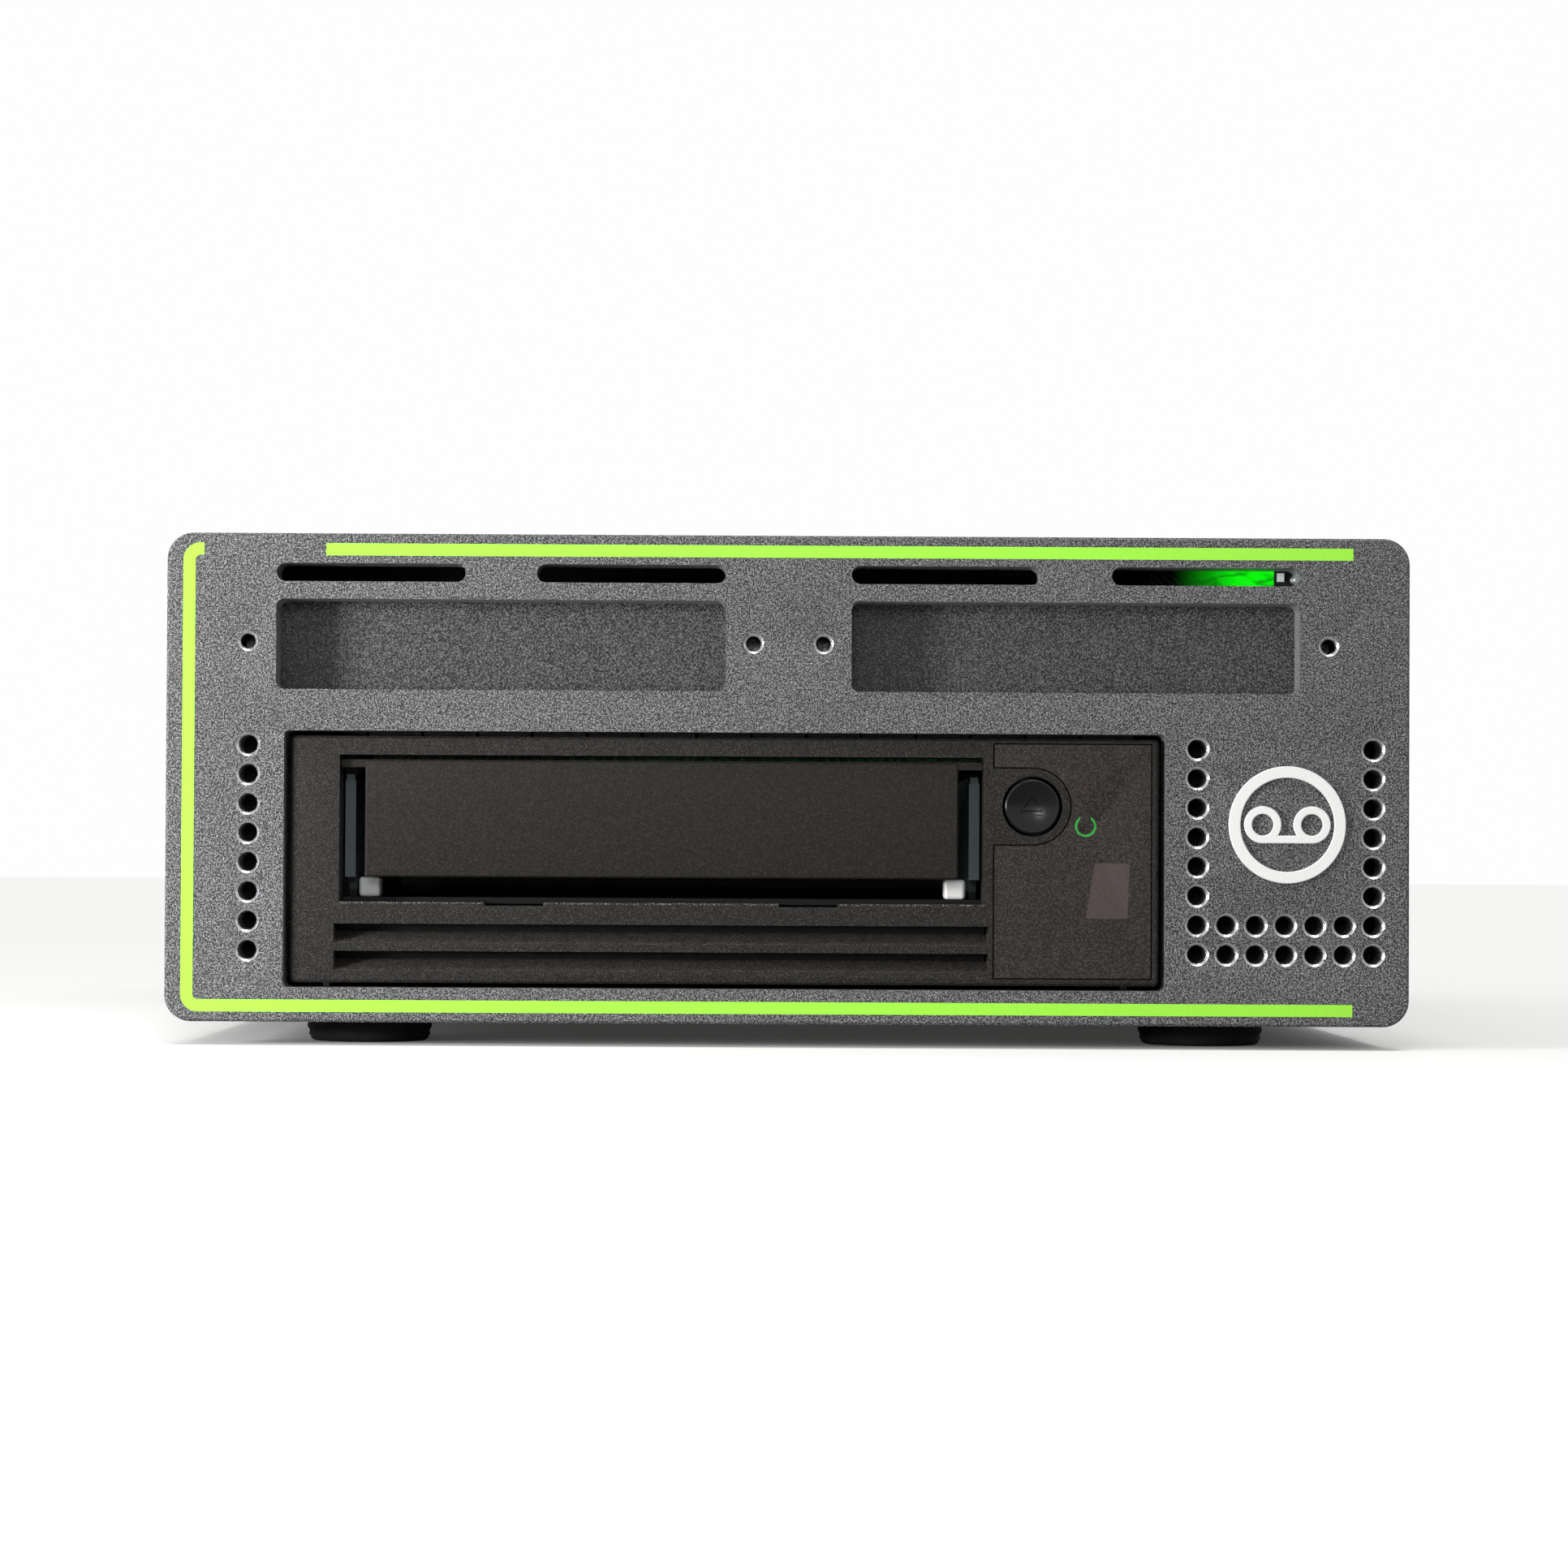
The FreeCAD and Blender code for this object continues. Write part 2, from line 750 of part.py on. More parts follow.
deck_top = panel_low + size.deck_level + size.sheet
bay_low = panel_low + size.bay_low
bay_top = bay_low + size.bay_height
bay_width = (size.panel_width - size.bay_side * 2 - size.bay_between) / 2
bay_centres = [(bay_width + size.bay_between) * (side / 2) for side in (-1, 1)]
bay_screw_level = bay_low + size.bay_height / 2 + size.bay_screw_rise
slot_low = panel_low + size.slot_level - size.slot_height / 2
slot_top = slot_low + size.slot_height
slot_length = (bay_width - size.slot_between) / 2
slot_centres = [bay + (slot_length + size.slot_between) * (side / 2)
                for bay in bay_centres for side in (-1, 1)]
vent_room = panel_side - size.vent_side - opening_right - size.vent_gap
vent_columns = int(vent_room.value / size.vent_pitch.value) + 1

feet_places = [(side * size.foot_apart / 2, end) for side in (-1, 1)
               for end in (front + size.foot_inset, rear - size.foot_inset)]
panel_screw_places = [(side * (panel_side - size.panel_screw_in), wall_back, level)
                      for side in (-1, 1)
                      for level in (opening_low + size.panel_screw_rise,
                                    bay_low + size.panel_screw_rise,
                                    case_top - size.screw_head)]
cover_screw_level = floor + size.flange_height / 2
cover_screw_rows = [front + size.cover_screw_front, dim(0.0), rear - size.cover_screw_rear]
deck_front = wall_back
deck_back = deck_front + size.deck_length
deck_leg = flange_inside - size.case_gap
deck_screw_places = [(side * (deck_leg - size.sheet - size.deck_foot / 2), end, floor + size.sheet)
                     for side in (-1, 1)
                     for end in (deck_front + size.deck_screw_front, deck_back - size.deck_screw_back)]
blank_width = bay_width + size.blank_lap * 2
blank_screw_places = [(bay + side * (blank_width / 2 - size.blank_screw_in),
                       wall_back + size.sheet + size.blank_foot / 2, deck_top + size.sheet)
                      for bay in bay_centres for side in (-1, 1)]
bracket_front = front + size.bracket_start
bracket_back = bracket_front + size.bracket_length
drive_screw_level = drive_low + size.drive_screw_rise
drive_screw_rows = [bracket_front + size.bracket_screw_in, bracket_back - size.bracket_screw_in]
bracket_foot_x = [drive_left - size.sheet - size.bracket_foot / 2,
                  drive_right + size.sheet + size.bracket_foot / 2]
bracket_screw_places = [(across, end, floor + size.sheet)
                        for across in bracket_foot_x for end in drive_screw_rows]
lid_screw_inset = size.post_diameter / 2 + size.drive_wall / 2
lid_screw_places = [(across, end, drive_top)
                    for across in (drive_left + lid_screw_inset, drive_right - lid_screw_inset)
                    for end in (drive_front + size.lid_screw_front, drive_back - lid_screw_inset)]
fan_place = (size.fan_side + size.fan_size / 2 - case_side, rear_inside, size.fan_level)
fan_screw_places = [(fan_place[0] + side * size.fan_screw_apart / 2, rear,
                     fan_place[2] + level * size.fan_screw_apart / 2)
                    for side in (-1, 1) for level in (-1, 1)]
circuit_low = floor + size.board_level
circuit_back = rear_inside - size.case_gap
circuit_front = circuit_back - size.board_length
circuit_left = fan_place[0] + size.fan_size / 2 + size.board_gap
circuit_right = circuit_left + size.board_width
circuit_middle = circuit_left + size.board_width / 2
circuit_screw_places = [(across, end, circuit_low + size.board_thick)
                        for across in (circuit_left + size.board_screw_in,
                                       circuit_right - size.board_screw_in)
                        for end in (circuit_front + size.board_screw_in,
                                    circuit_back - size.board_screw_back)]
supply_left = circuit_right + size.supply_gap
supply_right = case_side - size.supply_side
supply_front = drive_back + size.supply_clear
supply_back = rear_inside - size.supply_rear
supply_screw_places = [(across, end, case_low)
                       for across in (supply_left + size.supply_screw_in,
                                      supply_right - size.supply_screw_in)
                       for end in (supply_front + size.supply_screw_in,
                                   supply_back - size.supply_screw_in)]
inlet_x = supply_right - size.inlet_side
data_ports = [circuit_middle + side * size.port_apart / 2 for side in (-1, 1)]
port_level = circuit_low + size.board_thick + size.port_height / 2


# ---- front panel and case ---------------------------------------------------------------------

def front_panel():
    """The thick face plate: drive opening, two bays, four slots and the vent pattern."""
    piece = Piece("front_panel")
    outline = piece.draw("XZ", front).rounded((-panel_side, panel_low), (panel_side, panel_top),
                                              size.panel_corner)
    piece.pad(outline, size.panel_thick)
    piece.dress("Chamfer", size.panel_break, lambda box, edge: box.YMax < front.value + 0.01)
    opening = piece.draw("XZ", front).rounded((opening_left, opening_low),
                                              (opening_right, opening_top), size.bezel_corner)
    piece.pocket(opening, size.panel_thick)
    for bay in bay_centres:
        hollow = piece.draw("XZ", front).rounded((bay - bay_width / 2, bay_low),
                                                 (bay + bay_width / 2, bay_top),
                                                 size.bay_corner)
        piece.pocket(hollow, size.panel_thick)
    slots = piece.draw("XZ", front)
    for centre in slot_centres:
        slots.slot((centre - slot_length / 2, slot_low),
                   (centre + slot_length / 2, slot_top), True)
    piece.pocket(slots, size.panel_thick)
    vents = piece.draw("XZ", front)
    for row in range(VENT_ROWS):
        level = panel_low + size.vent_low + size.vent_pitch * row
        vents.circle((opening_left - size.vent_gap_left, level), size.vent_diameter)
        for column in range(vent_columns):
            if row < VENT_FULL_ROWS or column in (0, vent_columns - 1):
                vents.circle((opening_right + size.vent_gap + size.vent_pitch * column, level),
                             size.vent_diameter)
    piece.holes(vents, size.vent_diameter, size.vent_mouth)
    sockets = piece.draw("XZ", front)
    for bay in bay_centres:
        for side in (-1, 1):
            sockets.circle((bay + side * (bay_width / 2 + size.bay_screw_out), bay_screw_level),
                           size.bay_screw_bore)
    piece.holes(sockets, size.bay_screw_bore, size.bay_screw_mouth)
    taps = piece.draw("XZ", panel_back - size.panel_tap)
    for x, y, z in panel_screw_places:
        taps.circle((x, z), size.screw_diameter + size.screw_gap * 2)
    piece.pocket(taps, size.panel_tap)
    return piece.body


def wall_windows(piece):
    """Openings of the sheet wall behind the panel, each a little larger than the panel's own."""
    margin = size.wall_margin
    windows = piece.draw("XZ", panel_back)
    windows.rectangle((opening_left - size.bezel_corner, opening_low - size.bezel_corner),
                      (opening_right + size.bezel_corner, opening_top + size.bezel_corner))
    for bay in bay_centres:
        windows.rectangle((bay - bay_width / 2 - margin, bay_low - margin),
                          (bay + bay_width / 2 + margin, bay_top + margin))
    for centre in slot_centres:
        windows.rectangle((centre - slot_length / 2, slot_low - margin),
                          (centre + slot_length / 2, slot_top + margin))
    vent_low = panel_low + size.vent_low - size.vent_mouth / 2
    vent_top = vent_low + size.vent_pitch * (VENT_ROWS - 1) + size.vent_mouth
    left = opening_left - size.vent_gap_left
    right = opening_right + size.vent_gap
    windows.rectangle((left - size.vent_mouth / 2, vent_low), (left + size.vent_mouth / 2, vent_top))
    windows.rectangle((right - size.vent_mouth / 2, vent_low),
                      (right + size.vent_pitch * (vent_columns - 1) + size.vent_diameter / 2, vent_top))
    piece.pocket(windows, size.sheet)


def rear_cutouts(piece):
    """Inlet, switch, data ports and fan slots of the rear wall."""
    holes = piece.draw("XZ", rear_inside)
    fit = size.case_gap
    for level, width, height in ((size.inlet_level, size.inlet_width - size.inlet_lip * 2,
                                  size.inlet_height - size.inlet_lip * 2),
                                 (size.switch_level, size.switch_width - size.switch_lip * 2,
                                  size.switch_height - size.switch_lip * 2)):
        holes.rectangle((inlet_x - width / 2 - fit, level - height / 2 - fit),
                        (inlet_x + width / 2 + fit, level + height / 2 + fit))
    for across in data_ports:
        holes.slot((across - size.port_width / 2 - fit, port_level - size.port_height / 2 - fit),
                   (across + size.port_width / 2 + fit, port_level + size.port_height / 2 + fit), True)
    for number in range(FAN_SLOTS):
        offset = size.grille_pitch * (number - (FAN_SLOTS - 1) / 2)
        edge = abs(offset.value) + size.grille_slot.value / 2
        half = math.sqrt((size.fan_sweep.value / 2) ** 2 - edge ** 2)
        reach = size.fan_sweep * (half / size.fan_sweep.value)
        across = fan_place[0] + offset
        holes.slot((across - size.grille_slot / 2, fan_place[2] - reach),
                   (across + size.grille_slot / 2, fan_place[2] + reach), False)
    piece.pocket(holes, size.sheet)


def base_tray():
    """Folded chassis: floor, front wall, rear wall and two low side flanges."""
    piece = Piece("base_tray_sheet")
    plate = piece.draw("XY", case_low).rectangle((-tray_side, panel_back), (tray_side, rear))
    piece.pad(plate, size.sheet)
    top = ceiling - size.case_gap
    for level in (panel_back, rear_inside):
        wall = piece.draw("XZ", level).polygon([
            (-tray_side, case_low), (tray_side, case_low), (tray_side, top - size.sheet_bend),
            (tray_side - size.sheet_bend, top), (size.sheet_bend - tray_side, top),
            (-tray_side, top - size.sheet_bend)])
        piece.pad(wall, size.sheet)
    for left in (-tray_side, flange_inside):
        flange = piece.draw("XY", floor).rectangle((left, wall_back), (left + size.sheet, rear_inside))
        piece.pad(flange, size.flange_height)
    wall_windows(piece)
    rear_cutouts(piece)
    shank = size.screw_diameter
    reach = size.sheet * 2.5
    side_screws = [(side * case_side, end, cover_screw_level)
                   for side in (-1, 1) for end in cover_screw_rows]
    drilled = (bores("tray_foot_bore", "Z", [(x, y, floor) for x, y in feet_places], shank, reach)
               + bores("tray_panel_bore", "Y", panel_screw_places, shank, reach)
               + bores("tray_cover_bore", "X", side_screws, shank, size.sheet * 3)
               + bores("tray_deck_bore", "Z", deck_screw_places, shank, reach)
               + bores("tray_bracket_bore", "Z", bracket_screw_places, shank, reach)
               + bores("tray_supply_bore", "Z", supply_screw_places, shank, reach)
               + bores("tray_fan_bore", "Y", fan_screw_places, shank, reach))
    return cut("base_tray", piece.body, drilled)


def top_cover():
    """The folded lid: top and both sides, bent at a small radius."""
    piece = Piece("top_cover_sheet")
    outline = piece.draw("XZ", panel_back).polygon([
        (-case_side, case_low), (-case_side, case_top), (case_side, case_top), (case_side, case_low),
        (cover_inside, case_low), (cover_inside, ceiling), (-cover_inside, ceiling),
        (-cover_inside, case_low)])
    piece.pad(outline, rear - panel_back)
    top = case_top.value - 0.01
    side = case_side.value - 0.01
    piece.dress("Fillet", size.sheet_bend,
                lambda box, edge: box.YLength > 20 and box.ZMin > top and abs(box.XMin) > side)
    below = ceiling.value - 0.01
    above = ceiling.value + 0.01
    piece.dress("Fillet", size.sheet_bend - size.sheet,
                lambda box, edge: box.YLength > 20 and below < box.ZMin < above)
    side_screws = [(place * case_side, end, cover_screw_level)
                   for place in (-1, 1) for end in cover_screw_rows]
    drilled = bores("cover_bore", "X", side_screws, size.screw_diameter, size.sheet * 2)
    return cut("top_cover", piece.body, drilled)


def feet():
    """Four round feet, tapered, with a recess for the screw."""
    items = []
    for x, y in feet_places:
        foot = doc.addObject("Part::Cone", "foot_body")
        bind(foot, "Radius1", size.foot_diameter / 2 - size.foot_taper)
        bind(foot, "Radius2", size.foot_diameter / 2)
        bind(foot, "Height", size.foot_height)
        move(foot, (x, y, 0.0))
        recess = rod("foot_recess", "Z", (x, y, 0.0), size.foot_recess, size.foot_height / 2)
        bore = rod("foot_bore", "Z", (x, y, 0.0), size.screw_diameter + size.screw_gap * 2,
                   size.foot_height)
        items.append(cut("foot_one", foot, [recess, bore]))
    return group("feet", items)


def case_screws():
    """Every screw of the case, one node for each use."""
    side_length = size.sheet * 2 + size.case_gap
    cover = (screws("cover_screws_left", "X", [(-case_side, end, cover_screw_level)
                                               for end in cover_screw_rows], -1, side_length),
             screws("cover_screws_right", "X", [(case_side, end, cover_screw_level)
                                                for end in cover_screw_rows], 1, side_length))
    seats = [(x, y, size.foot_height / 2) for x, y in feet_places]
    return [group("cover_screws", cover),
            screws("foot_screws", "Z", seats, -1, size.foot_height / 2 + size.sheet * 2),
            screws("panel_screws", "Y", panel_screw_places, 1,
                   size.sheet + size.panel_tap - size.case_gap)]


# ---- module bays ----------------------------------------------------------------------------

def bay_deck():
    """A shelf over the drive on two side legs, screwed to the chassis floor."""
    piece = Piece("bay_deck_sheet")
    leg_in = deck_leg - size.sheet
    foot_in = leg_in - size.deck_foot
    deck_low = deck_top - size.sheet
    foot_top = floor + size.sheet
    outline = piece.draw("XZ", deck_front).polygon([
        (-deck_leg, floor), (-foot_in, floor), (-foot_in, foot_top), (-leg_in, foot_top),
        (-leg_in, deck_low), (leg_in, deck_low), (leg_in, foot_top), (foot_in, foot_top),
        (foot_in, floor), (deck_leg, floor), (deck_leg, deck_top), (-deck_leg, deck_top)])
    piece.pad(outline, size.deck_length)
    clear = piece.draw("YZ", -deck_leg).rectangle((deck_front, floor),
                                                  (deck_front + size.deck_foot, deck_low))
    piece.pocket(clear, deck_leg * 2)
    air = piece.draw("YZ", -deck_leg).rounded(
        (deck_front + size.deck_foot * 2, floor + size.deck_foot),
        (deck_back - size.deck_foot, deck_low - size.deck_foot), size.sheet_bend)
    piece.pocket(air, deck_leg * 2)
    drilled = (bores("deck_bore", "Z", deck_screw_places, size.screw_diameter, size.sheet * 1.5)
               + bores("deck_blank_bore", "Z", blank_screw_places, size.small_screw, size.sheet * 3))
    return cut("bay_deck", piece.body, drilled)


def bay_blanks():
    """Plates that close the two bays from behind, each folded to a foot on the deck."""
    nodes = []
    for name, bay in zip(("bay_blank_left", "bay_blank_right"), bay_centres):
        piece = Piece(name + "_sheet")
        back = wall_back + size.sheet
        outline = piece.draw("YZ", bay - blank_width / 2).polygon([
            (wall_back, deck_top), (back + size.blank_foot, deck_top),
            (back + size.blank_foot, deck_top + size.sheet), (back, deck_top + size.sheet),
            (back, deck_top + size.blank_height), (wall_back, deck_top + size.blank_height)])
        piece.pad(outline, blank_width)
        own = blank_screw_places[:2] if name.endswith("left") else blank_screw_places[2:]
        drilled = bores("blank_bore", "Z", own, size.small_screw, size.sheet * 2)
        nodes.append(cut(name, piece.body, drilled))
    nodes.append(screws("blank_screws", "Z", blank_screw_places, 1, size.sheet * 3, small=True))
    nodes.append(screws("deck_screws", "Z", deck_screw_places, 1, size.sheet * 2))
    return nodes


def activity_light():
    """A light bar behind the right half of the last slot, held against the sheet wall."""
    centre = slot_centres[-1]
    right = centre + slot_length / 2 + size.light_lap
    return block("activity_light", (right - size.light_length - size.light_lap, wall_back,
                                    slot_low - size.light_lap),
                 (right, wall_back + size.slot_height, slot_top + size.light_lap))


# ---- drive: bezel, window, button and door ------------------------------------------------------

def drive_bezel():
    """The moulded bezel: cartridge mouth, two sloping air slots, window pocket, button bore."""
    piece = Piece("drive_bezel_moulding")
    outline = piece.draw("XZ", bezel_front).rounded((bezel_left, bezel_low),
                                                    (bezel_right, bezel_top), size.bezel_corner)
    piece.pad(outline, size.bezel_depth)
    piece.dress("Chamfer", size.panel_break, lambda box, edge: box.YMax < bezel_front.value + 0.01)
    slot = piece.draw("XZ", bezel_front).rectangle((mouth_left, mouth_low), (mouth_right, mouth_top))
    piece.pocket(slot, size.bezel_depth)
    notches = piece.draw("XZ", bezel_front)
    for side in (-1, 1):
        centre = mouth + side * size.ledge_apart / 2
        notches.rectangle((centre - size.ledge_notch / 2, mouth_low - size.ledge_depth),
                          (centre + size.ledge_notch / 2, mouth_low))
    piece.pocket(notches, size.bezel_depth)
    for number in range(2):
        low = bezel_low + size.grille_low + (size.grille_opening + size.grille_lip) * number
        top = low + size.grille_opening
        air = piece.draw("YZ", mouth_left - size.grille_side).polygon([
            (bezel_front, low), (bezel_front + size.grille_run, low + size.grille_rise),
            (bezel_back, low + size.grille_rise), (bezel_back, top), (bezel_front, top)])
        piece.pocket(air, mouth_width + size.grille_side * 2)
    recess = piece.draw("XZ", bezel_front).rectangle((window_left, window_low),
                                                     (window_right, window_top))
    piece.pocket(recess, size.window_depth)
    island = piece.draw("XZ", bezel_front).tongue(
        (window_left, button_z - size.tongue_radius),
        (button_x + size.tongue_radius, button_z + size.tongue_radius))
    piece.pad(island, size.window_depth)
    port = piece.draw("XZ", window_floor).rectangle((port_left, port_low),
                                                    (port_right, port_low + size.light_port_height))
    piece.pocket(port, bezel_back - window_floor)
    button = piece.draw("XZ", bezel_front).circle((button_x, button_z), size.button_bore)
    piece.pocket(button, size.bezel_depth)
    axle_bore = size.axle_diameter + size.axle_fit * 2
    reach = mouth_width / 2 + size.pin_reach + size.ear_gap
    pivot = piece.draw("YZ", mouth - reach).circle((door_axis[1], door_axis[2]), axle_bore)
    piece.pocket(pivot, reach * 2)
    post = size.post_diameter / 2
    posts = piece.draw("XZ", bezel_back)
    posts.circle((window_left + post, drive_deck + post), post)
    posts.circle((window_left + post, window_top - post), post)
    piece.pad(posts, size.board_stand)
    piece.body.Label = "drive_bezel"
    return piece.body


def status_window():
    """The dark window, cut away round the button, with a groove for the light ring."""
    piece = Piece("status_window_plate")
    fit = size.window_fit
    start = bezel_front + size.window_recess
    plate = piece.draw("XZ", start).rectangle((window_left + fit, window_low + fit),
                                              (window_right - fit, window_top - fit))
    piece.pad(plate, window_floor - start)
    round_button = piece.draw("XZ", start).tongue(
        (window_left - fit, button_z - size.tongue_radius - fit),
        (button_x + size.tongue_radius + fit, button_z + size.tongue_radius + fit))
    piece.pocket(round_button, window_floor - start)
    groove = status_ring("ring_groove", start, size.ring_depth)
    ring = status_ring("status_light_ring", start, size.ring_depth)
    return [cut("status_window", piece.body, [groove]), ring]


def status_ring(name, start, depth):
    """A thin ring, open at the top."""
    outer = rod(name + "_outer", "Y", (ring_x, start, ring_z), size.ring_diameter, depth)
    inner = rod(name + "_inner", "Y", (ring_x, start, ring_z),
                size.ring_diameter - size.ring_wall * 2, depth)
    opening = block(name + "_opening", (ring_x - size.ring_diameter / 4, start, ring_z),
                    (ring_x + size.ring_diameter / 4, start + depth, ring_z + size.ring_diameter))
    return cut(name, outer, [inner, opening])


def eject_button():
    """A dished cap on a flange that holds it behind the bezel, and the stem to its switch."""
    start = bezel_front
    cap = size.button_bore - size.button_gap * 2
    flange_start = bezel_back + size.slide_gap
    flange = rod("button_flange", "Y", (button_x, flange_start, button_z), size.button_flange,
                 size.sheet)
    shaft = rod("button_cap", "Y", (button_x, start, button_z), cap, flange_start - start)
    stem = rod("button_stem", "Y", (button_x, flange_start + size.sheet, button_z),
               size.button_stem, size.button_travel / 2)
    solid = join("button_solid", shaft, flange, stem)
    edge = cap / 2 - size.panel_break
    radius = (edge * edge + size.button_dish * size.button_dish) / (size.button_dish * 2)
    dish = doc.addObject("Part::Sphere", "button_dish")
    bind(dish, "Radius", radius)
    move(dish, (button_x, start + size.button_dish - radius, button_z))
    return cut("eject_button", solid, [dish])


def cartridge_door():
    """The flap with its two ears and the stub pins that turn in the bezel."""
    piece = Piece("cartridge_door")
    half = mouth_width / 2 - size.door_side_gap
    axle = size.axle_diameter / 2
    plate = piece.draw("XZ", door_front).rectangle((mouth - half, door_top - size.door_height),
                                                   (mouth + half, door_top))
    piece.pad(plate, size.door_thick)
    piece.dress("Chamfer", size.panel_break * 0.7,
                lambda box, edge: box.YMax < door_front.value + 0.01)
    ear_reach = mouth_width / 2 - size.ear_gap
    ears = piece.draw("YZ", mouth - ear_reach).rectangle((door_axis[1] - axle, door_axis[2] - axle),
                                                         (door_axis[1] + axle, door_axis[2] + axle))
    piece.pad(ears, ear_reach * 2)
    pin_end = mouth_width / 2 + size.pin_reach
    pins = piece.draw("YZ", mouth - pin_end).circle((door_axis[1], door_axis[2]), size.axle_diameter)
    piece.pad(pins, pin_end * 2)
    return piece.body


def front_board():
    """The small board behind the window, with the button's switch, and its display."""
    start = bezel_back + size.board_stand
    board = block("front_board_plate",
                  (window_left + size.window_fit, start, drive_deck + size.board_clear),
                  (drive_right - size.drive_wall - size.case_gap * 2, start + size.board_thick,
                   lid_low - size.board_clear))
    face = bezel_back + size.slide_gap + size.sheet + size.button_travel * 1.5
    side = size.button_stem * 0.8
    switch = block("front_board_switch", (button_x - side, face, button_z - side),
                   (button_x + side, start, button_z + side))
    display_low = bezel_low + size.display_low
    right = port_right - size.display_side
    display = block("status_display",
                    (right - size.display_width, window_floor + size.display_back, display_low),
                    (right, start, display_low + size.display_height))
    return [join("drive_front_board", board, switch), display]


# ---- drive: frame -----------------------------------------------------------------------------

def drive_base():
    """The cast tub of the drive: floor, walls, tray rails, screw posts and connector gap."""
    piece = Piece("drive_base_casting")
    outer = piece.draw("XY", drive_low).rectangle((drive_left, drive_front), (drive_right, drive_back))
    piece.pad(outer, lid_low - drive_low)
    inner = piece.draw("XY", drive_deck).rectangle(
        (drive_left + size.drive_wall, drive_front), (drive_right - size.drive_wall,
                                                      drive_back - size.drive_wall))
    piece.pocket(inner, lid_low - drive_deck)
    rail = tray_inside - size.slide_gap
    rail_back = tray_back + size.tray_travel
    rails = piece.draw("XY", drive_deck)
    for left in (mouth - rail, mouth + rail - size.rail_width):
        rails.rectangle((left, drive_front + size.board_stand + size.board_thick + size.sheet),
                        (left + size.rail_width, rail_back))
    piece.pad(rails, tray_low - size.slide_gap - drive_deck)
    posts = piece.draw("XY", drive_deck)
    for x, y, z in lid_screw_places:
        posts.circle((x, y), size.post_diameter)
    piece.pad(posts, lid_low - drive_deck)
    left = drive_left + size.connector_side
    gap = piece.draw("XZ", drive_back - size.drive_wall).rectangle(
        (left - size.case_gap, drive_deck),
        (left + size.connector_width + size.case_gap, drive_deck + size.connector_height))
    piece.pocket(gap, size.drive_wall)
    sides = [(drive_left, end, drive_screw_level) for end in drive_screw_rows]
    sides += [(drive_right, end, drive_screw_level) for end in drive_screw_rows]
    drilled = (bores("base_side_bore", "X", sides, size.screw_diameter, size.drive_wall * 2)
               + bores("base_lid_bore", "Z", lid_screw_places, size.small_screw,
                       size.lid_screw_length))
    return cut("drive_base", piece.body, drilled)


def drive_lid():
    """The flat lid with four bosses that hang the main board."""
    piece = Piece("drive_lid_plate")
    plate = piece.draw("XY", lid_low).rectangle((drive_left, drive_front), (drive_right, drive_back))
    piece.pad(plate, size.lid_thick)
    bosses = piece.draw("XY", lid_low - size.board_clear)
    for x, y in main_board_corners():
        bosses.circle((x, y), size.post_diameter)
    piece.pad(bosses, size.board_clear)
    drilled = bores("lid_bore", "Z", lid_screw_places, size.small_screw, size.lid_thick * 2)
    return cut("drive_lid", piece.body, drilled)


def main_board_box():
    """Corners of the main board, which hangs under the lid behind the open door."""
    low_x = drive_left + size.drive_wall + size.main_board_side
    high_x = drive_right - size.drive_wall - size.main_board_side
    low_y = door_front + size.door_height + size.main_board_gap
    high_y = low_y + size.main_board_length
    top = lid_low - size.board_clear
    return (low_x, low_y, top - size.board_thick), (high_x, high_y, top)


def main_board_corners():
    low, high = main_board_box()
    inset = size.post_diameter
    return [(x, y) for x in (low[0] + inset, high[0] - inset) for y in (low[1] + inset, high[1] - inset)]


def main_board():
    """The drive's controller board with its larger chips."""
    low, high = main_board_box()
    plate = block("main_board_plate", low, high)
    chips = []
    chip = size.chip_size
    for number in range(MAIN_CHIPS):
        start = low[0] + chip + chip * 2.4 * number
        chips.append(block("main_board_chip", (start, low[1] + chip, low[2] - size.sheet),
                           (start + chip, low[1] + chip * 2, low[2])))
    return join("main_board", plate, *chips)


def rear_connector():
    """The drive's power and data connector in the gap of its rear wall."""
    left = drive_left + size.connector_side
    return block("drive_rear_connector",
                 (left, drive_back - size.connector_depth, drive_deck),
                 (left + size.connector_width, drive_back,
                  drive_deck + size.connector_height - size.case_gap))


